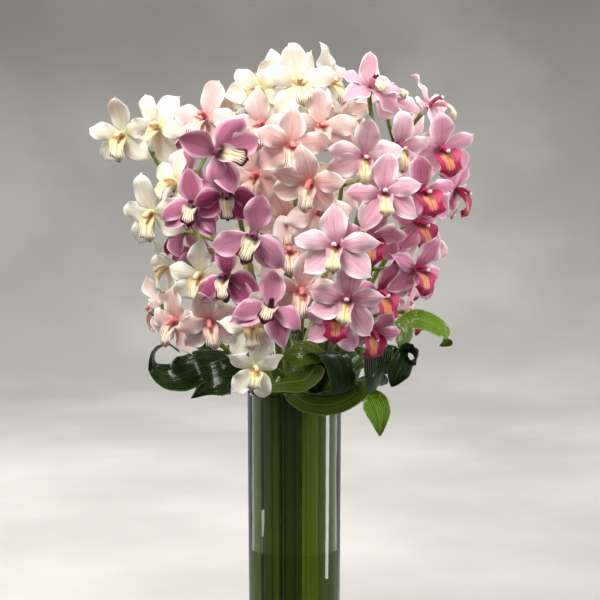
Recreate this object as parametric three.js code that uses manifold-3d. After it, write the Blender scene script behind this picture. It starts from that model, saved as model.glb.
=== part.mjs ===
// A florist's arrangement of cut cymbidium orchid sprays in a tall clear glass cylinder vase,
// with a collar of rolled and folded aspidistra leaves over the rim and water round the stems.
// Millimetres, +Z up, +X to the viewer's right, -Y towards the viewer.
// The origin is the middle of the vase's foot, on the surface that it stands on.

import * as THREE from "three";
import { mergeVertices } from "three/addons/utils/BufferGeometryUtils.js";
import Module from "manifold-3d";

const wasm = await Module();
wasm.setup();

// Driving dimensions

const VASE_HEIGHT = 400;
const RIM_RADIUS = 50;
const FOOT_RADIUS = 48;
const GLASS_WALL = 4;
const GLASS_FLOOR = 14;
const EDGE_ROUND = 1.2;
const VASE_FACETS = 32;

const WATER_LEVEL = 232;
const CLEARANCE = 0.35;

const STEM_RADIUS = 4.4;
const STEM_TIP_RADIUS = 1.9;
const STEM_SIDES = 6;
const STEM_FOOT_Z = GLASS_FLOOR + 0.6;
const STEM_WAIST_Z = 200;
const MOUTH_Z = VASE_HEIGHT - 4;
const STEM_TWIST = 14;
const STEM_TAPER = 1.4;
const HOLE_DEPTH = 2;
const OUTER_RING = 31;
const INNER_RING = 14;

const TEPAL_LENGTH = 40;
const TEPAL_HALF_WIDTH = 12.5;
const TEPAL_THICKNESS = 1.4;
const HUB_RADIUS = 4.5;
const HUB_DEPTH = 1.5;
const LIP_ROOT_RADIUS = 2.7;
const OVARY_RADIUS = 2.7;
const PEDICEL_RADIUS = 1.9;
const PEDICEL_REACH = 36;
const PEDICEL_DROP = 12;
const BLOOM_BREADTH = 72;
const BLOOM_DEPTH = 21;
const LIP_MARGIN = 0.6;
const THROAT_HALF = 3.5;

const LEAF_THICKNESS = 1.3;
const LEAF_FOLD = 1.2;
const LEAF_TIP_HALF = 0.8;
const TAIL_TOP_Z = 388;
const RIM_TURN = [[44.8, 399.5], [48.6, 403.6]];

const radians = THREE.MathUtils.degToRad;
const vec = (x, y, z) => new THREE.Vector3(x, y, z);

// A point at an azimuth round the vase's axis: 0 is towards the viewer, 90 to the viewer's right.
function around(azimuth, radius, z) {
  const a = radians(azimuth);
  return vec(radius * Math.sin(a), -radius * Math.cos(a), z);
}

// A direction from its yaw (0 faces the viewer, 90 the viewer's right) and its pitch above level.
function facing(yaw, pitch) {
  const a = radians(yaw);
  const e = radians(pitch);
  return vec(Math.sin(a) * Math.cos(e), -Math.cos(a) * Math.cos(e), Math.sin(e));
}

// Closed meshes, ring by ring. A ring runs anticlockwise about the direction of travel.
class Skin {
  constructor() {
    this.points = [];
    this.triangles = [];
  }

  ring(vectors) {
    return vectors.map((v) => this.points.push(v.clone()) - 1);
  }

  // Joins two rings, which may differ in their number of points. A ring of one point is an apex.
  stitch(from, to) {
    const n = from.length;
    const m = to.length;
    let i = 0;
    let j = 0;
    while ((n > 1 && i < n) || (m > 1 && j < m)) {
      const fromIsBehind = m === 1 || j >= m || (i + 0.5) / n < (j + 0.5) / m;
      if (n > 1 && i < n && fromIsBehind) {
        this.triangles.push([from[i], from[(i + 1) % n], to[j % m]]);
        i += 1;
      } else {
        this.triangles.push([from[i % n], to[(j + 1) % m], to[j]]);
        j += 1;
      }
    }
  }

  // Joins two four-cornered blade rings with the diagonals alike on both faces.
  stitchBlade(from, to) {
    const corners = [
      { edge: 0, ridge: 1, flip: false },
      { edge: 2, ridge: 1, flip: true },
      { edge: 2, ridge: 3, flip: false },
      { edge: 0, ridge: 3, flip: true },
    ];
    for (const { edge, ridge, flip } of corners) {
      const first = [from[edge], from[ridge], to[ridge]];
      const second = [from[edge], to[ridge], to[edge]];
      this.triangles.push(flip ? first.reverse() : first, flip ? second.reverse() : second);
    }
  }

  // Joins a root of two edges and a ridge between them to a four-cornered blade ring.
  stitchRoot([left, ridge, right], to) {
    this.triangles.push([left, ridge, to[1]], [left, to[1], to[0]], [ridge, right, to[1]]);
    this.triangles.push([right, to[2], to[1]], [right, to[3], to[2]]);
    this.triangles.push([right, left, to[3]], [left, to[0], to[3]]);
  }

  capStart(ring) {
    for (let i = 1; i + 1 < ring.length; i++) {
      this.triangles.push([ring[0], ring[i + 1], ring[i]]);
    }
  }

  capEnd(ring) {
    for (let i = 1; i + 1 < ring.length; i++) {
      this.triangles.push([ring[0], ring[i], ring[i + 1]]);
    }
  }

  solid(matrix = new THREE.Matrix4()) {
    const moved = this.points.map((p) => p.clone().applyMatrix4(matrix));
    return toSolid(moved.flatMap((p) => [p.x, p.y, p.z]), this.triangles.flat());
  }
}

function toSolid(coordinates, indices) {
  const mesh = new wasm.Mesh({
    numProp: 3,
    vertProperties: new Float32Array(coordinates),
    triVerts: new Uint32Array(indices),
  });
  mesh.merge();
  return new wasm.Manifold(mesh);
}

// A four-cornered blade section: two thin edges, raised by the lift, and a ridge on each face.
function bladeRing({ centre, side, normal, half, thickness, lift }) {
  const raised = centre.clone().addScaledVector(normal, lift);
  return [
    raised.clone().addScaledVector(side, half),
    centre.clone().addScaledVector(normal, thickness / 2),
    raised.clone().addScaledVector(side, -half),
    centre.clone().addScaledVector(normal, -thickness / 2),
  ];
}

// The rings of a round bar at stations of a curve, the first corner of each kept towards one side.
function barRings(skin, curve, stations, sides, radiusAt, toward) {
  const normal = toward.clone();
  return stations.map((t) => {
    const tangent = curve.getTangent(t);
    normal.addScaledVector(tangent, -normal.dot(tangent)).normalize();
    const binormal = tangent.clone().cross(normal);
    const corners = Array.from({ length: sides }, (_, i) => {
      const a = (2 * Math.PI * i) / sides;
      return curve
        .getPoint(t)
        .addScaledVector(normal, radiusAt(t) * Math.cos(a))
        .addScaledVector(binormal, radiusAt(t) * Math.sin(a));
    });
    return skin.ring(corners);
  });
}

function bar(curve, stations, sides, radiusAt) {
  const skin = new Skin();
  const rings = barRings(skin, curve, stations, sides, radiusAt, vec(1, 0, 0));
  skin.capStart(rings[0]);
  for (let k = 0; k + 1 < rings.length; k++) skin.stitch(rings[k], rings[k + 1]);
  skin.capEnd(rings[rings.length - 1]);
  return skin.solid();
}

// A bloom, in its own frame: x to its right, y to its upper sepal, z out of its face.
// Its six organs stand round the hub, anticlockwise from the petal on the right. A tepal has
// shares of the driving length and width, a forward bow and how far its tip comes forward.

const ORGANS = [
  { kind: "petal", angle: 16, length: 0.95, width: 0.92, bow: 5, tip: 1 },
  { kind: "sepal", angle: 90, length: 1.0, width: 1.0, bow: 3, tip: 7 },
  { kind: "petal", angle: 164, length: 0.95, width: 0.92, bow: 5, tip: 1 },
  { kind: "sepal", angle: 223, length: 1.0, width: 0.96, bow: 1, tip: -3 },
  { kind: "lip", angle: 270 },
  { kind: "sepal", angle: 317, length: 1.0, width: 0.96, bow: 1, tip: -3 },
];
const TEPAL_STATIONS = [0.36, 0.74];
const LIP_STATIONS = [
  { y: -6.5, z: 10.5, half: 8.5, lift: 7, rise: 0.4 },
  { y: -19, z: 21.5, half: 8.5, lift: -1, rise: 4 },
];
const LIP_TIP = { y: -27, z: 17.5 };
const COLUMN_TIP = { y: -0.5, z: 20 };

// A tepal's half width, as a share of the widest: t^rise (1 - t)^fall, scaled to 1 at its top.
function tepalShare(t) {
  const rise = 0.7;
  const fall = 0.5;
  const widest = rise / (rise + fall);
  return (t / widest) ** rise * ((1 - t) / (1 - widest)) ** fall;
}

// The middle line of a tepal, from the hub to its tip.
function tepalLine(organ, open) {
  const angle = radians(organ.angle);
  const out = vec(Math.cos(angle), Math.sin(angle), 0);
  const centreAt = (t) => {
    const reach = HUB_RADIUS + TEPAL_LENGTH * organ.length * t;
    const forward = organ.bow * 4 * t * (1 - t) + (organ.tip + open) * t * t;
    return vec(out.x * reach, out.y * reach, forward);
  };
  const halfAt = (t) => TEPAL_HALF_WIDTH * organ.width * tepalShare(t);
  return { out, side: vec(-out.y, out.x, 0), centreAt, halfAt };
}

function addTepal(skin, root, organ, open) {
  const { side, centreAt, halfAt } = tepalLine(organ, open);
  let last = root;
  for (const t of TEPAL_STATIONS) {
    const back = centreAt(t).setZ(centreAt(t).z - TEPAL_THICKNESS / 2);
    const ridge = centreAt(t).setZ(centreAt(t).z + TEPAL_THICKNESS / 2);
    const next = skin.ring([
      back.clone().addScaledVector(side, halfAt(t)),
      ridge,
      back.clone().addScaledVector(side, -halfAt(t)),
    ]);
    skin.stitch(last, next);
    last = next;
  }
  skin.stitch(last, skin.ring([centreAt(1)]));
}

function addLip(skin, root) {
  const side = vec(1, 0, 0);
  let last = root;
  for (const { y, z, half, lift, rise } of LIP_STATIONS) {
    const normal = vec(0, 1, rise).normalize();
    const section = { centre: vec(0, y, z), side, normal, half, thickness: TEPAL_THICKNESS, lift };
    const next = skin.ring(bladeRing(section));
    if (last === root) skin.stitchRoot(last, next);
    else skin.stitchBlade(last, next);
    last = next;
  }
  skin.stitch(last, skin.ring([vec(0, LIP_TIP.y, LIP_TIP.z)]));
}

// A bloom's skin, open at the back of the hub, where the organs and the column share their roots.
function bloomSkin(open) {
  const skin = new Skin();
  const count = ORGANS.length;
  const angles = ORGANS.map((organ) => radians(organ.angle));
  const gaps = skin.ring(
    angles.map((a, i) => {
      const next = i + 1 < count ? angles[i + 1] : angles[0] + 2 * Math.PI;
      const middle = (a + next) / 2;
      return vec(HUB_RADIUS * Math.cos(middle), HUB_RADIUS * Math.sin(middle), 0);
    }),
  );
  const fronts = skin.ring(
    ORGANS.map((organ, i) => {
      const radius = organ.kind === "lip" ? LIP_ROOT_RADIUS : HUB_RADIUS;
      return vec(radius * Math.cos(angles[i]), radius * Math.sin(angles[i]), HUB_DEPTH);
    }),
  );
  ORGANS.forEach((organ, i) => {
    const root = [gaps[i], fronts[i], gaps[(i + count - 1) % count]];
    if (organ.kind === "lip") addLip(skin, root);
    else addTepal(skin, root, organ, open);
  });
  const front = gaps.flatMap((gap, i) => [gap, fronts[(i + 1) % count]]);
  skin.stitch(front, skin.ring([vec(0, COLUMN_TIP.y, COLUMN_TIP.z)]));
  return { skin, back: [...gaps].reverse() };
}

// The room that a bloom needs among others: a slab round each tepal and the lip, as its petals,
// and a spike round the hub and the column, as its heart.
function bloomRoom(open, grow, matrix) {
  const across = vec(1, 0, 0);
  const upward = vec(0, 1, 0);
  const outward = vec(0, 0, 1);
  const deep = TEPAL_THICKNESS / 2 + grow;
  const tepals = ORGANS.filter((organ) => organ.kind !== "lip").map((organ) => {
    const { out, side, centreAt, halfAt } = tepalLine(organ, open);
    const tip = centreAt(1).addScaledVector(out, grow);
    return slab([
      slabRing(out, side, outward, HUB_RADIUS, deep),
      ...TEPAL_STATIONS.map((t) => slabRing(centreAt(t), side, outward, halfAt(t) + grow, deep)),
      slabRing(tip, side, outward, 1, deep),
    ]);
  });
  const lipEnd = vec(0, LIP_TIP.y - grow, LIP_TIP.z);
  const lip = slab([
    slabRing(vec(0, 0, 0), across, upward, THROAT_HALF, deep + LIP_MARGIN),
    ...LIP_STATIONS.map(({ y, z, half, lift, rise }) => {
      const normal = vec(0, 1, rise).normalize();
      return slabRing(vec(0, y, z), across, normal, half + grow, deep + LIP_MARGIN, lift);
    }),
    slabRing(lipEnd, across, outward, 1, deep),
  ]);
  const heart = slab([
    slabRing(vec(0, 0, -HUB_DEPTH - grow), across, upward, HUB_RADIUS, HUB_RADIUS),
    slabRing(vec(0, 0, HUB_DEPTH + grow), across, upward, HUB_RADIUS, HUB_RADIUS),
    slabRing(vec(0, COLUMN_TIP.y, COLUMN_TIP.z + grow), across, upward, 1, 1),
  ]);
  return { petals: [...tepals, lip].map((skin) => skin.solid(matrix)), heart: heart.solid(matrix) };
}

// A flat section of six corners, with its two edges raised by the lift.
function slabRing(centre, side, normal, half, deep, lift = 0) {
  const outline = [[1, -1], [1, 1], [0, 1], [-1, 1], [-1, -1], [0, -1]];
  return outline.map(([u, v]) =>
    centre
      .clone()
      .addScaledVector(side, u * half)
      .addScaledVector(normal, v * deep + Math.abs(u) * lift),
  );
}

function slab(sections) {
  const skin = new Skin();
  const rings = sections.map((section) => skin.ring(section));
  skin.capStart(rings[0]);
  for (let k = 0; k + 1 < rings.length; k++) skin.stitch(rings[k], rings[k + 1]);
  skin.capEnd(rings[rings.length - 1]);
  return skin;
}

// Which way a bloom faces: its right, its upper sepal and its face, turned by its roll.
function bloomAxes({ yaw, pitch, roll }) {
  const face = facing(yaw, pitch);
  const level = vec(Math.cos(radians(yaw)), Math.sin(radians(yaw)), 0);
  const upright = face.clone().cross(level);
  const right = level
    .multiplyScalar(Math.cos(radians(roll)))
    .addScaledVector(upright, Math.sin(radians(roll)));
  return { right, upper: face.clone().cross(right), face };
}

function bloomMatrix(bloom) {
  const { right, upper, face } = bloomAxes(bloom);
  return new THREE.Matrix4()
    .makeBasis(right, upper, face)
    .scale(vec(bloom.size, bloom.size, bloom.size))
    .setPosition(bloom.place);
}

// Sprays: the slot of each stem in the vase as a ring radius and an azimuth, then points that the
// flowering stem passes above the mouth, then the blooms from the lowest to the tip.
// A bloom is x, y, z, yaw, pitch, roll, size and how far its tepals come forward.

const SPRAYS = [
  {
    name: "spray_ivory_left",
    tint: "ivory",
    slot: [OUTER_RING, -98],
    stem: [[-75, -25, 500], [-110, -8, 585], [-150, 12, 650]],
    blooms: [
      [-94, -95, 530, -10, 0, 15, 0.92, 0],
      [-129, -30, 535, -75, -10, 10, 0.9, 4],
      [-143, -60, 591, -25, -5, 5, 0.95, -2],
      [-122, -20, 620, -40, 10, -15, 0.9, 0],
      [-177, -22, 670, -22, -5, 12, 0.95, 2],
      [-143, 4, 678, -30, 14, -25, 0.95, -4],
    ],
  },
  {
    name: "spray_ivory_top",
    tint: "ivory",
    slot: [INNER_RING, -150],
    stem: [[-8, 20, 520], [-5, 5, 620], [-2, -22, 692]],
    blooms: [
      [-34, -50, 714, -20, 10, -15, 0.95, 0],
      [-14, -20, 724, -45, 15, 10, 0.85, 3],
      [8, -70, 721, 12, 5, 0, 1.0, 0],
      [32, -14, 726, 42, 12, 0, 0.95, -2],
      [0, 40, 722, 180, 30, 0, 0.95, 0],
    ],
  },
  {
    name: "spray_magenta",
    tint: "magenta",
    slot: [OUTER_RING, -33],
    stem: [[-35, -92, 500], [-50, -100, 570], [-64, -90, 640]],
    blooms: [
      [-23, -150, 503, 5, 5, -10, 0.95, 2],
      [-66, -140, 530, -15, 0, 10, 0.9, 0],
      [-38, -150, 572, 0, -5, 0, 1.0, -3],
      [-98, -110, 596, -20, -5, 5, 0.92, 0],
      [-62, -118, 614, 10, -20, 10, 0.85, 2],
      [-76, -138, 652, 25, 5, 75, 1.0, 0],
    ],
  },
  {
    name: "spray_blush_left",
    tint: "blush",
    slot: [INNER_RING, -90],
    stem: [[-25, -45, 530], [-40, -60, 605], [-58, -48, 668]],
    blooms: [
      [-31, -112, 622, 0, -15, 0, 0.92, 0],
      [-36, -105, 668, -10, 0, 0, 0.92, 0],
      [-89, -60, 685, -20, 15, 0, 0.95, 0],
      [-77, 15, 680, -160, 20, 0, 0.9, 0],
    ],
  },
  {
    name: "spray_blush_centre",
    tint: "blush",
    slot: [INNER_RING, -30],
    stem: [[-5, -45, 520], [0, -72, 590], [6, -80, 650]],
    blooms: [
      [-6, -112, 592, 0, -5, 0, 0.9, 0],
      [15, -130, 625, -5, -10, 0, 0.92, 0],
      [-3, -128, 657, 0, 0, 0, 0.95, 0],
      [25, -100, 680, 10, 10, 0, 0.92, 0],
    ],
  },
  {
    name: "spray_blush_low",
    tint: "blush",
    slot: [INNER_RING, 30],
    stem: [[6, -42, 450], [10, -72, 510], [16, -74, 565]],
    blooms: [
      [7, -122, 510, -5, 0, 0, 0.95, 0],
      [1, -112, 554, 0, 0, 0, 0.92, 0],
      [27, -120, 587, 20, -10, 0, 0.92, 0],
    ],
  },
  {
    name: "spray_rose_top",
    tint: "rose",
    slot: [INNER_RING, 90],
    stem: [[55, -30, 530], [70, -55, 600], [86, -45, 662]],
    blooms: [
      [69, -115, 648, 15, -5, -10, 0.95, 0],
      [104, -85, 658, 25, -10, 0, 0.9, 0],
      [79, -20, 719, 20, 45, 0, 0.95, 0],
    ],
  },
  {
    name: "spray_rose_centre",
    tint: "rose",
    slot: [OUTER_RING, 33],
    stem: [[33, -66, 460], [46, -96, 530], [64, -88, 592]],
    blooms: [
      [50, -138, 519, 5, -5, 0, 0.92, 0],
      [40, -155, 564, 0, 0, 0, 1.0, 0],
      [84, -112, 613, 10, 0, 0, 0.95, 0],
    ],
  },
  {
    name: "spray_ruby_high",
    tint: "ruby",
    slot: [OUTER_RING, 98],
    stem: [[70, -28, 500], [106, -32, 562], [132, -24, 625]],
    blooms: [
      [128, -62, 580, 40, 0, 0, 0.9, 0],
      [128, -92, 612, 10, -5, 0, 0.92, 0],
      [168, -20, 613, 55, -10, 0, 0.9, 0],
      [149, -50, 655, 15, 0, -5, 0.95, 0],
    ],
  },
  {
    name: "spray_ruby_low",
    tint: "ruby",
    slot: [OUTER_RING, 65],
    stem: [[40, -55, 430], [62, -72, 480], [80, -70, 540]],
    blooms: [
      [74, -112, 475, 20, -22, 0, 0.8, 0],
      [43, -128, 494, 0, -18, 0, 0.85, 0],
      [88, -98, 513, 32, -10, 0, 0.9, 0],
      [110, -80, 538, 50, -5, 0, 0.92, 0],
      [78, -112, 569, 20, -15, 0, 0.92, 0],
    ],
  },
  {
    name: "spray_blush_corner",
    tint: "blush",
    slot: [OUTER_RING, -65],
    stem: [[-50, -32, 432], [-78, -45, 457], [-100, -38, 478]],
    blooms: [
      [-82, -98, 485, -10, 0, 0, 0.88, 0],
      [-120, -70, 481, -30, -5, 0, 0.86, 0],
      [-142, 8, 490, -95, 0, 0, 0.9, 0],
    ],
  },
  {
    name: "spray_ivory_low",
    tint: "ivory",
    slot: [OUTER_RING, 0],
    stem: [[-12, -62, 425], [-28, -92, 443], [-40, -104, 464]],
    blooms: [
      [-38, -146, 445, 12, -18, -20, 0.74, 0],
      [-40, -140, 484, 5, -5, 0, 0.84, 0],
    ],
  },
  {
    name: "spray_magenta_back",
    tint: "magenta",
    slot: [OUTER_RING, -131],
    stem: [[-65, 38, 500], [-92, 62, 570], [-108, 78, 630]],
    blooms: [
      [-108, 112, 545, -150, 0, 0, 0.92, 0],
      [-134, 86, 566, -128, 0, 0, 0.92, 0],
      [-88, 126, 592, -160, 0, 0, 0.92, 0],
      [-124, 96, 628, -130, 10, 0, 0.92, 0],
      [-100, 118, 664, -155, 25, 0, 0.92, 0],
    ],
  },
  {
    name: "spray_ivory_back",
    tint: "ivory",
    slot: [OUTER_RING, -164],
    stem: [[-25, 58, 490], [-35, 92, 570], [-36, 90, 650]],
    blooms: [
      [-52, 142, 540, -160, -5, 0, 0.95, 0],
      [-10, 152, 570, 175, 0, 0, 0.95, 0],
      [-58, 146, 618, -160, 0, 0, 0.95, 0],
      [-14, 150, 652, 175, 5, 0, 0.95, 0],
      [-44, 105, 704, -155, 35, 0, 0.95, 0],
    ],
  },
  {
    name: "spray_blush_back",
    tint: "blush",
    slot: [0, 0],
    stem: [[26, 56, 490], [44, 92, 560], [56, 92, 640]],
    blooms: [
      [50, 148, 530, 165, -5, 0, 0.92, 0],
      [90, 130, 560, 140, 0, 0, 0.92, 0],
      [40, 155, 606, 170, 0, 0, 0.92, 0],
      [92, 135, 630, 145, 5, 0, 0.92, 0],
      [50, 120, 696, 165, 30, 0, 0.95, 0],
    ],
  },
  {
    name: "spray_rose_back",
    tint: "rose",
    slot: [INNER_RING, 150],
    stem: [[60, 28, 510], [92, 38, 590], [110, 36, 655]],
    blooms: [
      [134, 80, 556, 125, 0, 0, 0.92, 0],
      [152, 52, 608, 105, 0, 0, 0.92, 0],
      [132, 84, 664, 130, 15, 0, 0.92, 0],
      [100, 24, 710, 30, 55, 0, 0.92, 0],
      [142, 0, 700, 65, 30, 0, 0.92, 0],
    ],
  },
  {
    name: "spray_ivory_back_low",
    tint: "ivory",
    slot: [OUTER_RING, 164],
    stem: [[0, 62, 430], [-8, 92, 455], [-8, 104, 485]],
    blooms: [
      [-40, 138, 462, -160, -15, 0, 0.92, 0],
      [22, 142, 465, 165, -15, 0, 0.92, 0],
      [-4, 158, 506, 180, 0, 0, 0.92, 0],
    ],
  },
  {
    name: "spray_ruby_back_low",
    tint: "ruby",
    slot: [OUTER_RING, 131],
    stem: [[48, 42, 432], [74, 58, 462], [88, 60, 496]],
    blooms: [
      [84, 108, 466, 145, -15, 0, 0.9, 0],
      [128, 50, 480, 100, -5, 0, 0.9, 0],
      [118, 90, 512, 125, 5, 0, 0.9, 0],
    ],
  },
];

const TINTS = {
  ivory: 0xf3edd8,
  magenta: 0xa8507c,
  blush: 0xe6c0c0,
  rose: 0xe2a9c0,
  ruby: 0xcf7fa0,
};
const STEM_STATIONS = [0, 0.2, 0.4, 0.55, 0.7, 0.8, 0.9, 1];

function stemCurve({ slot, stem }) {
  const [radius, azimuth] = slot;
  const inVase = [
    around(azimuth + STEM_TWIST, radius, STEM_FOOT_Z),
    around(azimuth + STEM_TWIST / 2, radius, STEM_WAIST_Z),
    around(azimuth, radius, MOUTH_Z),
  ];
  return new THREE.CatmullRomCurve3([...inVase, ...stem.map((p) => vec(...p))]);
}

const stemRadius = (t) => STEM_RADIUS + (STEM_TIP_RADIUS - STEM_RADIUS) * t ** STEM_TAPER;

// Neighbouring blooms that face much the same way lie one before the other: each pair that is too
// near moves apart along the way that the two face, a share of what is short in each round.
function makeRoom(blooms) {
  const rounds = 40;
  const step = 0.25;
  const leastAgreement = 0.5;
  for (let round = 0; round < rounds; round++) {
    for (let i = 0; i < blooms.length; i++) {
      for (let j = i + 1; j < blooms.length; j++) {
        const [a, b] = [blooms[i], blooms[j]];
        const gap = b.place.clone().sub(a.place);
        const way = a.face.clone().add(b.face);
        if (way.length() / 2 < leastAgreement) continue;
        way.normalize();
        const axial = gap.dot(way);
        const lateral = Math.sqrt(Math.max(gap.lengthSq() - axial * axial, 0));
        const breadth = (BLOOM_BREADTH * (a.size + b.size)) / 2;
        if (lateral >= breadth) continue;
        const wanted = BLOOM_DEPTH * Math.sqrt(1 - (lateral / breadth) ** 2);
        const short = wanted - Math.abs(axial);
        if (short <= 0) continue;
        const push = step * short * Math.sign(axial || 1);
        a.place.addScaledVector(way, -push);
        b.place.addScaledVector(way, push);
      }
    }
  }
}

for (const spray of SPRAYS) {
  spray.curve = stemCurve(spray);
  spray.blooms = spray.blooms.map(([x, y, z, yaw, pitch, roll, size, open]) => {
    const bloom = { place: vec(x, y, z), yaw, pitch, roll, size, open };
    return { ...bloom, face: bloomAxes(bloom).face };
  });
}
makeRoom(SPRAYS.flatMap((spray) => spray.blooms));

// A pedicel runs from behind the bloom's hub to the upper part of the stem, which it meets below
// the bloom, at the nearest of the points that are tried along it.
function pedicelCurve(curve, bloom) {
  const lowestFoot = 0.62;
  const step = 0.02;
  const behind = bloom.place.clone().addScaledVector(bloom.face, -PEDICEL_REACH);
  behind.z -= PEDICEL_DROP;
  let foot = curve.getPoint(1);
  for (let t = lowestFoot; t < 1; t += step) {
    const point = curve.getPoint(t);
    if (point.distanceTo(behind) < foot.distanceTo(behind)) foot = point;
  }
  const elbow = bloom.place.clone().addScaledVector(bloom.face, -PEDICEL_REACH / 2);
  return new THREE.QuadraticBezierCurve3(bloom.place.clone(), elbow, foot);
}

const PEDICEL_STATIONS = [0.14, 0.5, 1];
const pedicelRadius = (t) => OVARY_RADIUS + (PEDICEL_RADIUS - OVARY_RADIUS) * t;

// A bloom set in its place, drawn out at the back of its hub into its pedicel.
function bloomSolid(spray, bloom) {
  const { skin, back } = bloomSkin(bloom.open);
  const matrix = bloomMatrix(bloom);
  skin.points.forEach((point) => point.applyMatrix4(matrix));
  const curve = pedicelCurve(spray.curve, bloom);
  const toward = skin.points[back[0]].clone().lerp(skin.points[back[1]], 0.5).sub(bloom.place);
  const rings = barRings(skin, curve, PEDICEL_STATIONS, 3, pedicelRadius, toward);
  skin.stitch(back, rings[0]);
  for (let k = 0; k + 1 < rings.length; k++) skin.stitch(rings[k], rings[k + 1]);
  skin.capEnd(rings[rings.length - 1]);
  return skin.solid();
}

// Solids live in the library's own memory, so what a join or a cut uses up is let go, and each
// result is made an original, which drops its history and merges its flat faces.
function settled(result, ...used) {
  const solid = result.asOriginal();
  solid.numTri();
  result.delete();
  for (const old of used) old.delete();
  return solid;
}

const unite = (solids) => settled(wasm.Manifold.union(solids), ...solids);

const cut = (solid, tool) =>
  touches(solid, tool) ? settled(solid.subtract(tool), solid) : solid;

function touches(a, b) {
  const [p, q] = [a.boundingBox(), b.boundingBox()];
  return [0, 1, 2].every((k) => p.min[k] < q.max[k] && q.min[k] < p.max[k]);
}

const stemSolid = (spray, grow) =>
  bar(spray.curve, STEM_STATIONS, STEM_SIDES, (t) => stemRadius(t) + grow);

// The stem and pedicels with a clearance all round, for what must keep off them.
function woodRoom(spray) {
  const pedicels = spray.blooms.map((bloom) =>
    bar(
      pedicelCurve(spray.curve, bloom),
      [0, ...PEDICEL_STATIONS],
      3,
      (t) => pedicelRadius(t) + 2 * CLEARANCE,
    ),
  );
  return [stemSolid(spray, CLEARANCE), ...pedicels];
}

// The stem with its foot drawn down through the vase's floor, for the hole that it needs in water.
function stemHole(spray) {
  const deeper = spray.curve.points.map((p) => p.clone());
  deeper[0].z -= HOLE_DEPTH;
  const curve = new THREE.CatmullRomCurve3(deeper);
  const inVase = STEM_STATIONS.slice(0, 3);
  return bar(curve, inVase, STEM_SIDES, (t) => stemRadius(t) + CLEARANCE);
}

function keepLargest(solid) {
  const pieces = solid.decompose().sort((a, b) => b.volume() - a.volume());
  const [largest, ...scraps] = pieces;
  return settled(largest, solid, ...scraps);
}

// Leaves: each blade's tail stands against the glass at an azimuth, down to a depth, and its path
// comes over the rim and is rolled or folded. The widths are half widths at the tail, along the
// path and before the tip, and the across vectors say which way the blade lies along the path.

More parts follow.
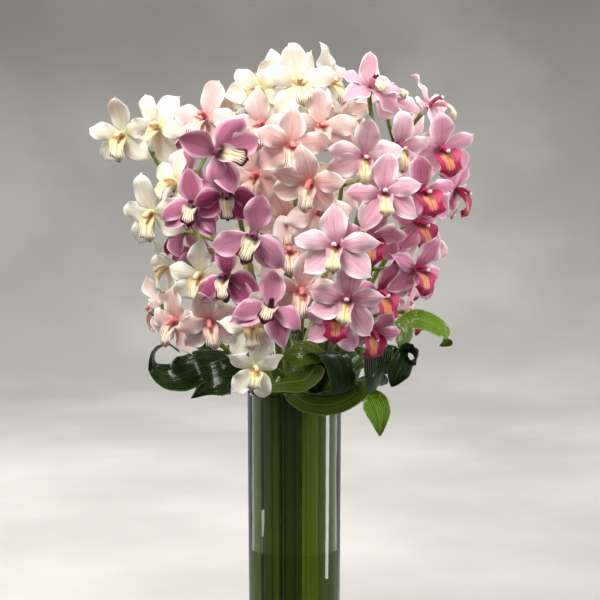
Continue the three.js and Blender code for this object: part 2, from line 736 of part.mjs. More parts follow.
const LEAVES = [
  {
    name: "leaf_front_fold",
    tail: [-31, 64],
    path: [
      [-25, -60, 413], [-8, -72, 419], [12, -80, 424], [22, -79, 440], [8, -76, 449],
      [-14, -69, 446],
    ],
    across: [[0.5, 0.5, 0.7], [0, 0.4, 0.92], [0, 0.6, 0.8]],
    half: [9.5, 13, 16, 14],
  },
  {
    name: "leaf_front_strap",
    tail: [-4, 72],
    path: [
      [12, -60, 397], [34, -66, 395], [56, -70, 403], [76, -66, 420], [80, -58, 442],
      [62, -52, 454],
    ],
    across: [[0.2, 0.3, 0.93], [0, 0.3, 0.95], [0, 0.6, 0.8], [0.2, 0.95, 0.1], [0, 0.5, 0.87]],
    half: [9.5, 11, 12, 12],
  },
  {
    name: "leaf_front_roll",
    tail: [22, 58],
    path: [
      [31, -66, 404], [47, -88, 412], [48, -92, 433], [38, -80, 450], [23, -66, 444],
      [20, -62, 422], [24, -58, 406],
    ],
    across: [[0.85, 0.5, 0], [0.95, 0.3, 0], [0.9, 0.3, 0]],
    half: [9, 15, 17, 14],
  },
  {
    name: "leaf_hanging",
    tail: [45, 90],
    path: [[58, -48, 408], [76, -58, 404], [85, -62, 390], [88, -63, 362]],
    across: [[0.5, 0.8, 0], [0.9, 0.3, 0.2], [1, 0.2, 0]],
    half: [7.5, 11, 14.5, 11],
  },
  {
    name: "leaf_right_fan",
    tail: [65, 66],
    path: [
      [72, -36, 418], [98, -42, 428], [118, -48, 431], [126, -55, 443], [116, -63, 449],
      [107, -69, 433], [99, -68, 414],
    ],
    across: [[0.2, 0.9, 0.2], [0, 0.9, 0.4], [0.3, 0.9, 0.1], [0.8, 0.5, -0.3], [0.88, 0.1, -0.46]],
    half: [7, 12, 11, 14, 13],
  },
  {
    name: "leaf_right_roll",
    tail: [85, 84],
    path: [
      [72, -30, 414], [86, -62, 414], [82, -88, 426], [84, -90, 446], [88, -70, 458],
      [94, -50, 446], [92, -54, 428],
    ],
    across: [[0.3, 0.9, 0], [0.95, -0.3, 0], [0.95, -0.3, 0]],
    half: [7, 13, 15, 14],
  },
  {
    name: "leaf_right_crescent",
    tail: [105, 60],
    path: [
      [78, -4, 430], [103, -28, 442], [115, -50, 457], [109, -60, 474], [95, -58, 477],
      [88, -52, 467],
    ],
    across: [[0.2, 0.9, 0.2], [0.75, 0.65, 0], [0.6, 0.75, 0.2]],
    half: [7, 13, 15, 13],
  },
  {
    name: "leaf_right_curl",
    tail: [126, 256],
    path: [
      [72, 6, 438], [104, -18, 470], [128, -26, 479], [150, -28, 470], [160, -28, 459],
      [151, -27, 451],
    ],
    across: [[0.3, 0.9, 0], [-0.2, 0.55, 0.8], [-0.3, 0.5, 0.8], [0.3, 0.8, 0.5]],
    half: [7.5, 11, 12, 8],
  },
  {
    name: "leaf_left_point",
    tail: [-62, 70],
    path: [[-62, -42, 422], [-82, -48, 419], [-107, -47, 399]],
    across: [[0.1, 0.5, 0.8], [0, 0.4, 0.9]],
    half: [10, 20, 20, 9],
  },
  {
    name: "leaf_left_ring",
    tail: [-92, 62],
    path: [
      [-72, -24, 428], [-94, -38, 432], [-114, -42, 425], [-131, -42, 423], [-145, -41, 433],
      [-144, -40, 447], [-131, -40, 454], [-118, -41, 446],
    ],
    across: [[0.1, 0.7, 0.7], [0, 0.35, 0.94], [0, 0.75, 0.6], [0.3, 0.9, 0], [0, 0.93, -0.35]],
    half: [10, 20, 19, 12, 12, 10],
  },
  {
    name: "leaf_left_tip",
    tail: [-122, 262],
    path: [[-82, 12, 436], [-118, -8, 464], [-154, -26, 488]],
    across: [[0, 0.8, 0.6], [0.3, 0.9, 0]],
    half: [9.5, 9, 9, 5],
  },
  {
    name: "leaf_back_right",
    tail: [149, 246],
    path: [
      [38, 62, 426], [54, 86, 444], [66, 104, 448], [68, 106, 428], [56, 90, 408],
      [46, 72, 404],
    ],
    across: [[0.85, 0.5, 0]],
    half: [8.5, 19, 22, 17],
  },
  {
    name: "leaf_back",
    tail: [176, 240],
    path: [[-2, 68, 428], [0, 94, 448], [2, 112, 446], [2, 108, 422], [0, 86, 404], [0, 74, 410]],
    across: [[1, 0, 0]],
    half: [9, 20, 23, 17],
  },
  {
    name: "leaf_back_left",
    tail: [-153, 252],
    path: [
      [-34, 62, 426], [-52, 86, 444], [-66, 102, 448], [-66, 104, 428], [-56, 84, 408],
      [-46, 68, 404],
    ],
    across: [[0.8, 0.6, 0]],
    half: [9.5, 19, 22, 17],
  },
];

// A value read along a list of knots, as numbers or as vectors, with u from 0 to 1.
function along(knots, u, blend) {
  const place = Math.min(Math.max(u, 0), 1) * (knots.length - 1);
  const k = Math.min(Math.floor(place), Math.max(knots.length - 2, 0));
  return knots.length === 1 ? knots[0] : blend(knots[k], knots[k + 1], place - k);
}

function leafStations(leaf, perSpan = 2) {
  const [azimuth, bottom] = leaf.tail;
  const turn = [[tailRadiusAt(bottom), bottom], [tailRadiusAt(TAIL_TOP_Z), TAIL_TOP_Z], ...RIM_TURN];
  const tail = turn.map(([radius, z]) => around(azimuth, radius, z));
  const points = [...tail, ...leaf.path.map((p) => vec(...p))];
  const curve = new THREE.CatmullRomCurve3(points);
  const spans = points.length - 1;
  const tailSpans = tail.length - 1;
  const level = vec(Math.cos(radians(azimuth)), Math.sin(radians(azimuth)), 0);
  const lies = [level, ...leaf.across.map((a) => vec(...a).normalize())];
  const stations = [];
  for (let k = 0; k <= spans * perSpan; k++) {
    if (k < tailSpans * perSpan && k % perSpan) continue;
    const place = k / perSpan;
    const u = (place - tailSpans) / (spans - tailSpans);
    const tangent = curve.getTangent(place / spans);
    const side = along(lies, u, (a, b, f) => a.clone().lerp(b, f)).clone();
    side.addScaledVector(tangent, -side.dot(tangent)).normalize();
    stations.push({
      centre: curve.getPoint(place / spans),
      side,
      normal: tangent.clone().cross(side),
      half: along(leaf.half, u, (a, b, f) => a + (b - a) * f),
    });
  }
  return stations;
}

function leafSolid(leaf) {
  const skin = new Skin();
  const stations = leafStations(leaf);
  const tip = stations.pop();
  const rings = stations.map((s) =>
    skin.ring(bladeRing({ ...s, thickness: LEAF_THICKNESS, lift: LEAF_FOLD })),
  );
  skin.capStart(rings[0]);
  for (let k = 0; k + 1 < rings.length; k++) skin.stitchBlade(rings[k], rings[k + 1]);
  skin.stitch(rings[rings.length - 1], skin.ring([tip.centre]));
  return skin.solid();
}

function leafRoom(leaf) {
  const stations = leafStations(leaf);
  stations[stations.length - 1].half = LEAF_TIP_HALF;
  const deep = LEAF_THICKNESS / 2 + CLEARANCE;
  return slab(
    stations.map((s) => slabRing(s.centre, s.side, s.normal, s.half + CLEARANCE, deep, LEAF_FOLD)),
  ).solid();
}

// The vase and its water, turned about the axis, with flat facets that leaf tails stand against.

function turned(profile) {
  const geometry = new THREE.LatheGeometry(
    profile.map(([radius, z]) => new THREE.Vector2(radius, z)),
    VASE_FACETS,
  );
  geometry.rotateX(Math.PI / 2);
  geometry.deleteAttribute("normal");
  geometry.deleteAttribute("uv");
  const merged = mergeVertices(geometry);
  return toSolid([...merged.attributes.position.array], [...merged.index.array]);
}

const outerRadiusAt = (z) => FOOT_RADIUS + ((RIM_RADIUS - FOOT_RADIUS) * z) / VASE_HEIGHT;
const innerRadiusAt = (z) => outerRadiusAt(z) - GLASS_WALL;
const tailRadiusAt = (z) =>
  innerRadiusAt(z) * Math.cos(Math.PI / VASE_FACETS) - LEAF_THICKNESS / 2 - CLEARANCE;

function vaseSolid(grow) {
  const floor = GLASS_FLOOR + grow;
  const top = VASE_HEIGHT + grow;
  return turned([
    [0, -grow],
    [outerRadiusAt(0) - EDGE_ROUND + grow, -grow],
    [outerRadiusAt(EDGE_ROUND) + grow, EDGE_ROUND],
    [outerRadiusAt(VASE_HEIGHT) + grow, VASE_HEIGHT - EDGE_ROUND],
    [outerRadiusAt(VASE_HEIGHT) - EDGE_ROUND + grow, top],
    [innerRadiusAt(VASE_HEIGHT) + EDGE_ROUND - grow, top],
    [innerRadiusAt(VASE_HEIGHT) - grow, VASE_HEIGHT - EDGE_ROUND],
    [innerRadiusAt(floor) - grow, floor + 2 * EDGE_ROUND],
    [innerRadiusAt(floor) - 2 * EDGE_ROUND - grow, floor],
    [0, floor],
  ]);
}

function waterSolid(holes) {
  const floor = GLASS_FLOOR + CLEARANCE;
  const body = turned([
    [0, floor],
    [innerRadiusAt(floor) - 2 * EDGE_ROUND - CLEARANCE, floor],
    [innerRadiusAt(floor) - CLEARANCE, floor + 2 * EDGE_ROUND],
    [innerRadiusAt(WATER_LEVEL) - CLEARANCE, WATER_LEVEL],
    [0, WATER_LEVEL],
  ]);
  return keepLargest(holes.reduce(cut, body));
}

// The sprays keep clear of one another: wood and hubs stay whole, and where petals of two sprays
// would cross, the later spray's petal ends at the earlier one's.

const rooms = SPRAYS.map((spray) =>
  spray.blooms.map((bloom) => bloomRoom(bloom.open, CLEARANCE, bloomMatrix(bloom))),
);
const core = SPRAYS.map((spray, i) =>
  unite([...woodRoom(spray), ...rooms[i].map(({ heart }) => heart)]),
);
const petalRoom = rooms.map((blooms) => unite(blooms.flatMap(({ petals }) => petals)));

const sprays = [];
SPRAYS.forEach((spray, i) => {
  let blooms = unite(spray.blooms.map((bloom) => bloomSolid(spray, bloom)));
  SPRAYS.forEach((_, j) => {
    if (j !== i) blooms = cut(blooms, core[j]);
    if (j < i && touches(blooms, petalRoom[j])) {
      const taken = petalRoom[j].subtract(core[i]);
      blooms = settled(blooms.subtract(taken), blooms, taken);
    }
  });
  let whole = unite([blooms, stemSolid(spray, 0)]);
  for (const earlier of sprays) whole = cut(whole, earlier);
  sprays.push(keepLargest(whole));
});

const glassRoom = vaseSolid(CLEARANCE);
const leafRooms = LEAVES.map(leafRoom);
const leaves = [];
LEAVES.forEach((leaf, k) => {
  const earlier = [...leafRooms.slice(0, k), ...leaves];
  const tools = [glassRoom, ...core, ...petalRoom, ...sprays, ...earlier];
  leaves.push(keepLargest(tools.reduce(cut, leafSolid(leaf))));
});

const water = waterSolid([...SPRAYS.map(stemHole), ...leafRooms, ...leaves]);

function meshOf(name, solid, look) {
  const { vertProperties, triVerts } = solid.getMesh();
  const geometry = new THREE.BufferGeometry();
  geometry.setAttribute("position", new THREE.BufferAttribute(vertProperties, 3));
  geometry.setIndex(new THREE.BufferAttribute(triVerts, 1));
  geometry.computeVertexNormals();
  const mesh = new THREE.Mesh(geometry, new THREE.MeshStandardMaterial(look));
  mesh.name = name;
  return mesh;
}

const GLASS = { color: 0xdfe8e4, roughness: 0.03, metalness: 0, transparent: true, opacity: 0.3 };
const WATER = { color: 0xe6efe9, roughness: 0.02, metalness: 0, transparent: true, opacity: 0.3 };
const LEAF = { color: 0x2f5a1c, roughness: 0.38, metalness: 0 };

const arrangement = new THREE.Group();
arrangement.add(meshOf("vase", vaseSolid(0), GLASS), meshOf("water", water, WATER));
SPRAYS.forEach((spray, i) => {
  const look = { color: TINTS[spray.tint], roughness: 0.55, metalness: 0 };
  arrangement.add(meshOf(spray.name, sprays[i], look));
});
LEAVES.forEach((leaf, k) => arrangement.add(meshOf(leaf.name, leaves[k], LEAF)));

export default arrangement;
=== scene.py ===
from math import cos, pi, radians, sin, tau

import bpy
import numpy as np
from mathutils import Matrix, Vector


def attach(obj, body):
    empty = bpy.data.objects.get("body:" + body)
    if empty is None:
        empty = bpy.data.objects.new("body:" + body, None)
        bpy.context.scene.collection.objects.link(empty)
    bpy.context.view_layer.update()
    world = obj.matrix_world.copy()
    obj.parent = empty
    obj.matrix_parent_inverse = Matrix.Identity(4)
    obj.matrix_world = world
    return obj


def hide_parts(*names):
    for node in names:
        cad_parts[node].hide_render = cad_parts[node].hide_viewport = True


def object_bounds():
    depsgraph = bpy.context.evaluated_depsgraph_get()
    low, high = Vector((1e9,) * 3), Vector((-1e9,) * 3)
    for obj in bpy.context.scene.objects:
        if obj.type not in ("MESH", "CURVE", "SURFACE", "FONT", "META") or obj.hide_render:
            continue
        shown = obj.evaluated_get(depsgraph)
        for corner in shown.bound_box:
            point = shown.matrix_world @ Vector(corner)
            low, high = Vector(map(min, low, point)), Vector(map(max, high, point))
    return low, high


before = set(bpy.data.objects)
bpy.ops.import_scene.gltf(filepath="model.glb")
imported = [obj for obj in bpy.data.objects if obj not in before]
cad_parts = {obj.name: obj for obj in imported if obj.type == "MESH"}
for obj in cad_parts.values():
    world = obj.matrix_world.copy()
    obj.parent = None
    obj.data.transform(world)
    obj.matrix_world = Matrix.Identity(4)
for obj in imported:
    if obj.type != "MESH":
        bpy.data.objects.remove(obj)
cad_bounds = [list(corner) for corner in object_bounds()]
scene = bpy.context.scene

# The view: the arrangement stands about a metre and a half from a portrait lens, which looks a
# little down on the vase's rim. The picture's lower edge crosses the vase above its foot.

LENS = 90
VIEW_DISTANCE = 1.587
VIEW_TARGET = Vector((0.006, 0, 0.497))
VIEW_DROP = radians(5)

camera = bpy.data.objects.new("camera", bpy.data.cameras.new("camera"))
camera.data.lens = LENS
camera.data.clip_end = 30
camera.location = VIEW_TARGET + VIEW_DISTANCE * Vector((0, -cos(VIEW_DROP), sin(VIEW_DROP)))
camera.rotation_euler = (radians(90) - VIEW_DROP, 0, 0)
scene.collection.objects.link(camera)
scene.camera = camera

# Studio light: a large softbox overhead, a wide weak one on either side of the view, a tall strip
# at the right for the bright line down the glass, one behind at each side for the leaves' edges,
# and one for the backdrop only. The room is brighter behind than in front.

LAMP_COLOUR = (1, 0.982, 0.955)


def softbox(name, place, aim, width, height, power):
    """A rectangular lamp at a place, turned towards a point, of a width and height in metres."""
    lamp = bpy.data.lights.new(name, "AREA")
    lamp.shape = "RECTANGLE"
    lamp.size = width
    lamp.size_y = height
    lamp.energy = power
    lamp.color = LAMP_COLOUR
    holder = bpy.data.objects.new(name, lamp)
    holder.location = place
    turn = (Vector(aim) - Vector(place)).to_track_quat("-Z", "Y")
    holder.rotation_euler = turn.to_euler()
    scene.collection.objects.link(holder)
    return holder


softbox("softbox_top", (-0.45, -0.9, 1.9), (0, 0, 0.6), 0.7, 0.7, 36)
front = softbox("softbox_front", (-1.3, -1.5, 0.9), (0, 0, 0.5), 1.0, 1.4, 9)
front.visible_glossy = False
fill = softbox("softbox_fill", (1.4, -1.4, 0.9), (0, 0, 0.5), 0.9, 1.2, 7)
fill.visible_glossy = False
strip = softbox("strip_right", (1.5, -0.05, 0.6), (0, 0, 0.4), 0.3, 1.7, 15)
softbox("softbox_back", (-1.2, 1.3, 1.2), (0, 0, 0.5), 0.9, 0.9, 16)
softbox("softbox_rim", (0.6, 0.5, 1.7), (0.05, -0.05, 0.43), 0.5, 0.5, 8)
backdrop = softbox("softbox_backdrop", (0.2, 1.2, 4.2), (0, 2.6, 0), 2.0, 2.0, 26)
backdrop.data.spread = radians(75)

ROOM_LIGHT = {"From Min": -0.6, "From Max": 0.6, "To Min": 0.05, "To Max": 0.5}

world = bpy.data.worlds.new("studio")
world.use_nodes = True
room = world.node_tree.nodes
room["Background"].inputs["Color"].default_value = (1, 1, 1, 1)
way = room.new("ShaderNodeTexCoord")
split = room.new("ShaderNodeSeparateXYZ")
strength = room.new("ShaderNodeMapRange")
for socket, value in ROOM_LIGHT.items():
    strength.inputs[socket].default_value = value
world.node_tree.links.new(way.outputs["Generated"], split.inputs[0])
world.node_tree.links.new(split.outputs["Y"], strength.inputs["Value"])
world.node_tree.links.new(strength.outputs[0], room["Background"].inputs["Strength"])
scene.world = world
scene.view_settings.view_transform = "Standard"

# The floor: a plain pale sweep that rises all round, far behind the arrangement. Only the camera
# meets it, so that its rise takes no light away, and the strip lamp near it doesn't light it.

MM = 0.001
FLOOR_REACH = 2600
FLOOR_BEND = 1200
FLOOR_RISE = 5000
FLOOR_DROP = 0.5
FLOOR_THICKNESS = 50
FLOOR_AROUND = 96


class Shape:
    """Gathers closed surfaces into one mesh. A surface is a grid of points in millimetres: each
    row is a closed ring, the rows follow one another along the piece, and the middle of the
    first and of the last ring closes its end."""

    def __init__(self):
        self.points, self.corners, self.sizes = [], [], []
        self.maps, self.marks, self.parts = [], [], []
        self.count = 0

    def add(self, rings, across=0.5, along=0.5, marks=(0, 0, 0), part=0):
        """Adds a surface, with its map of two shares and its three marks, and the number of its
        finish. Its faces are turned outwards by the sign of the volume that they enclose."""
        rows, ring = rings.shape[:2]

        def closed(values):
            grid = np.broadcast_to(values, (rows, ring, np.shape(values)[-1]))
            ends = [grid[0].mean(0), grid[-1].mean(0)]
            return np.concatenate([grid.reshape(rows * ring, -1), ends])

        points = closed(rings)
        here = np.arange(rows * ring).reshape(rows, ring)
        beside = np.roll(here, -1, axis=1)
        quads = np.stack([here[:-1], beside[:-1], beside[1:], here[1:]], -1).reshape(-1, 4)
        first = np.full(ring, rows * ring)
        fans = np.concatenate(
            [
                np.stack([first, beside[0], here[0]], -1),
                np.stack([first + 1, here[-1], beside[-1]], -1),
            ]
        )
        a, b, c = points[np.concatenate([quads[:, :3], quads[:, [0, 2, 3]], fans])].swapaxes(0, 1)
        if np.einsum("ij,ij->", a, np.cross(b, c)) < 0:
            quads, fans = quads[:, ::-1], fans[:, ::-1]
        shares = np.stack(np.broadcast_arrays(across, along, np.zeros((rows, ring))), -1)
        self.points.append(points)
        self.maps.append(closed(shares[..., :2]))
        self.marks.append(closed(np.asarray(marks, float)))
        self.corners += [quads.ravel() + self.count, fans.ravel() + self.count]
        self.sizes += [np.full(len(quads), 4), np.full(len(fans), 3)]
        self.parts.append(np.full(len(quads) + len(fans), part))
        self.count += len(points)

    def build(self, name, *finishes):
        """Makes the mesh object, with its finishes, its map and its marks."""
        corners = np.concatenate(self.corners)
        sizes = np.concatenate(self.sizes)
        mesh = bpy.data.meshes.new(name)
        mesh.vertices.add(self.count)
        mesh.vertices.foreach_set("co", np.concatenate(self.points).ravel() * MM)
        mesh.loops.add(len(corners))
        mesh.loops.foreach_set("vertex_index", corners)
        mesh.polygons.add(len(sizes))
        mesh.polygons.foreach_set("loop_start", np.cumsum(sizes) - sizes)
        mesh.polygons.foreach_set("material_index", np.concatenate(self.parts))
        mesh.update(calc_edges=True)
        mesh.shade_smooth()
        surface = mesh.uv_layers.new(name="surface")
        surface.data.foreach_set("uv", np.concatenate(self.maps)[corners].ravel())
        marks = mesh.attributes.new("marks", "FLOAT_VECTOR", "POINT")
        marks.data.foreach_set("vector", np.concatenate(self.marks).ravel())
        for finish in finishes:
            mesh.materials.append(finish.material)
        made = bpy.data.objects.new(name, mesh)
        scene.collection.objects.link(made)
        return made


def turned(profile, around):
    """The rings of a turned piece: point (i, j) stands at the profile's radius and height i, and
    at the angle 2 pi j / around."""
    radius, height = np.array(profile, float).T[:, :, None]
    angle = np.arange(around) * tau / around
    flat = np.zeros(around)
    return np.stack([radius * np.cos(angle), radius * np.sin(angle), height + flat], -1)


class Paint:
    """A value that changes over a surface: arithmetic on it adds the Math nodes for it."""

    def __init__(self, finish, socket):
        self.finish, self.socket = finish, socket

    def math(self, operation, *values):
        return self.finish.node("Math", dict(enumerate(values)), {"operation": operation})

    def __add__(self, other):
        return self.math("ADD", self, other)

    def __radd__(self, other):
        return self.math("ADD", other, self)

    def __sub__(self, other):
        return self.math("SUBTRACT", self, other)

    def __rsub__(self, other):
        return self.math("SUBTRACT", other, self)

    def __mul__(self, other):
        return self.math("MULTIPLY", self, other)

    def __rmul__(self, other):
        return self.math("MULTIPLY", other, self)

    def __pow__(self, other):
        return self.math("POWER", self, other)

    def __abs__(self):
        return self.math("ABSOLUTE", self)


class Finish:
    """A material with one Principled shader. Its shader's even values are set when it is made."""

    def __init__(self, name, values):
        self.material = bpy.data.materials.new(name)
        self.material.use_nodes = True
        self.tree = self.material.node_tree
        self.shader = self.tree.nodes["Principled BSDF"]
        for socket, value in values.items():
            self.shader.inputs[socket].default_value = value

    def node(self, kind, inputs, settings=None, output=0):
        """Adds a node of a type: its settings first, then the values or links of its sockets."""
        made = self.tree.nodes.new("ShaderNode" + kind)
        for name, value in (settings or {}).items():
            setattr(made, name, value)
        for key, value in inputs.items():
            self.feed(made.inputs[key], value)
        return Paint(self, made.outputs[output])

    def feed(self, socket, value):
        if isinstance(value, Paint):
            self.tree.links.new(value.socket, socket)
        else:
            socket.default_value = value

    def paint(self, **values):
        """Links values to the shader's sockets, whose names are given in lower case."""
        for name, value in values.items():
            self.feed(self.shader.inputs[name.replace("_", " ").title()], value)

    def place(self):
        return self.node("TexCoord", {}, output="Object")

    def stretched(self, x, y, z):
        """The place on the object, in metres, with each axis multiplied."""
        inputs = {0: self.place(), 1: (x, y, z)}
        return self.node("VectorMath", inputs, {"operation": "MULTIPLY"})

    def noise(self, vector, scale, detail=2):
        return self.node("TexNoise", {"Vector": vector, "Scale": scale, "Detail": detail})

    def sine(self, value):
        return value.math("SINE", value)

    def rise(self, value, low, high, top=1):
        """A smooth step of a value, from 0 at low to top at high."""
        inputs = {"Value": value, "From Min": low, "From Max": high, "To Max": top}
        return self.node("MapRange", inputs, {"interpolation_type": "SMOOTHSTEP"})

    def mix(self, share, under, over):
        """A colour that goes from one to another as the share goes from 0 to 1."""
        return self.node("Mix", {0: share, 6: under, 7: over}, {"data_type": "RGBA"}, 2)

    def let_lamps_through(self, tint):
        """Lamp light goes straight through, as through clear glass, and takes a tint."""
        clear = self.node("BsdfTransparent", {"Color": tint})
        shadow = self.node("LightPath", {}, output="Is Shadow Ray")
        glassy = Paint(self, self.shader.outputs[0])
        both = self.node("MixShader", {0: shadow, 1: glassy, 2: clear})
        self.feed(self.tree.nodes["Material Output"].inputs["Surface"], both)

    def parts(self, vector):
        """The three numbers of a vector."""
        return [self.node("SeparateXYZ", {0: vector}, output=i) for i in range(3)]

    def bump(self, height, depth):
        """A relief of a depth in metres, from heights between 0 and 1."""
        return self.node("Bump", {"Height": height, "Distance": depth}, output="Normal")


def colour(code):
    """A linear colour from the six figures of a screen colour."""
    shares = [int(code[i : i + 2], 16) / 255 for i in (0, 2, 4)]
    return (*(((s + 0.055) / 1.055) ** 2.4 if s > 0.04045 else s / 12.92 for s in shares), 1)


floor_profile = [(1, -FLOOR_DROP)]
for angle in np.linspace(0, pi / 2, 16):
    height = FLOOR_BEND * (1 - cos(angle)) - FLOOR_DROP
    floor_profile.append((FLOOR_REACH + FLOOR_BEND * sin(angle), height))
floor_edge = FLOOR_REACH + FLOOR_BEND
floor_profile += [(floor_edge, FLOOR_RISE), (floor_edge + FLOOR_THICKNESS, FLOOR_RISE)]
floor_profile += [(floor_edge + FLOOR_THICKNESS, -FLOOR_BEND)]
pale = Finish("pale_sweep", {"Roughness": 0.9})
cloud = pale.noise(pale.place(), 1.6, 4)
shade = pale.mix(pale.rise(cloud, 0.35, 0.65), colour("bab8b4"), colour("cdcbc7"))
pale.paint(base_color=shade)
shape = Shape()
shape.add(turned(floor_profile, FLOOR_AROUND))
floor = shape.build("floor", pale)
floor.visible_diffuse = False
floor.visible_glossy = False
floor.visible_transmission = False
floor.visible_shadow = False
beyond_strip = bpy.data.collections.new("beyond_strip")
beyond_strip.objects.link(floor)
beyond_strip.collection_objects[0].light_linking.link_state = "EXCLUDE"
strip.light_linking.receiver_collection = beyond_strip

# The vase: one straight cylinder of clear glass, blown in a mould, with a heavy flat floor and an
# upper edge that was cut and fire-polished round. The glass is faintly green in its thickness.

VASE_HEIGHT = 400
RIM_RADIUS = 50
FOOT_RADIUS = 48
GLASS_WALL = 4
GLASS_FLOOR = 14
EDGE_ROUND = 1.2
VASE_AROUND = 128
AXIS_GAP = 2


def outer_radius(height):
    return FOOT_RADIUS + (RIM_RADIUS - FOOT_RADIUS) * height / VASE_HEIGHT


def inner_radius(height):
    return outer_radius(height) - GLASS_WALL


def arc(radius, height, reach, start, end, steps=6):
    """Points of a round edge: its middle, its radius, and its angles from outward in degrees."""
    angles = np.radians(np.linspace(start, end, steps))
    return [(radius + reach * np.cos(a), height + reach * np.sin(a)) for a in angles]


ROUND = 2 * EDGE_ROUND
rim_middle = RIM_RADIUS - GLASS_WALL / 2
vase_profile = [(AXIS_GAP, 0)]
vase_profile += arc(FOOT_RADIUS - EDGE_ROUND, EDGE_ROUND, EDGE_ROUND, -90, 0)
vase_profile += arc(rim_middle, VASE_HEIGHT - GLASS_WALL / 2, GLASS_WALL / 2, 0, 180, 12)
vase_profile += arc(inner_radius(GLASS_FLOOR) - ROUND, GLASS_FLOOR + ROUND, ROUND, 0, -90)
vase_profile += [(AXIS_GAP, GLASS_FLOOR)]

glass = Finish("clear_glass", {"Roughness": 0.0, "IOR": 1.5, "Transmission Weight": 1.0})
drops = glass.noise(glass.stretched(1, 1, 0.35), 22, 3)
glass_tint = glass.mix(drops, colour("e6efd8"), colour("f1f6e6"))
glass.paint(base_color=glass_tint, normal=glass.bump(drops, 0.00025))
glass.let_lamps_through(colour("f2f6f2"))
shape = Shape()
shape.add(turned(vase_profile, VASE_AROUND))
vase = shape.build("glass_vase", glass)
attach(vase, "root")
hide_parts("vase")

# The water: it fills the lower part of the vase to the glass on all sides, and climbs the wall a
# little at its edge. Stems and leaf tails stand in it.

WATER_LEVEL = 232
WETTED = 0.15
CLIMB = 1.8
CLIMB_REACH = 5

water_profile = [(AXIS_GAP, GLASS_FLOOR - WETTED)]
water_profile += [(inner_radius(GLASS_FLOOR) - ROUND, GLASS_FLOOR - WETTED)]
water_profile += [(inner_radius(GLASS_FLOOR) + WETTED, GLASS_FLOOR + ROUND)]
water_profile += [(inner_radius(WATER_LEVEL) + WETTED, WATER_LEVEL)]
for step in np.linspace(0, 1, 7):
    radius = inner_radius(WATER_LEVEL) - CLIMB_REACH * step
    water_profile.append((radius, WATER_LEVEL - CLIMB + CLIMB * (1 - step) ** 3))
water_profile += [(AXIS_GAP, WATER_LEVEL - CLIMB)]

clear = Finish("clear_water", {"Roughness": 0.0, "IOR": 1.333, "Transmission Weight": 1.0})
ripple = clear.noise(clear.place(), 9)
water_tint = clear.mix(ripple, colour("e6eec8"), colour("f0f4d8"))
clear.paint(base_color=water_tint, normal=clear.bump(ripple, 0.0002))
clear.let_lamps_through(colour("f8faf4"))
shape = Shape()
shape.add(turned(water_profile, VASE_AROUND))
water = shape.build("vase_water", clear)
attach(water, "root")
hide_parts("water")

# The orchid sprays. Each is one grown piece: a stem that runs from its cut foot in the water up
# to its last bloom, and on it the stalked blooms. Its name starts with its colour, and its slot is
# its radius and azimuth at the vase's mouth. A bloom's row holds its place, the turn, the rise and
# the roll of its face in degrees, its size, and how far its tepals lean forward.

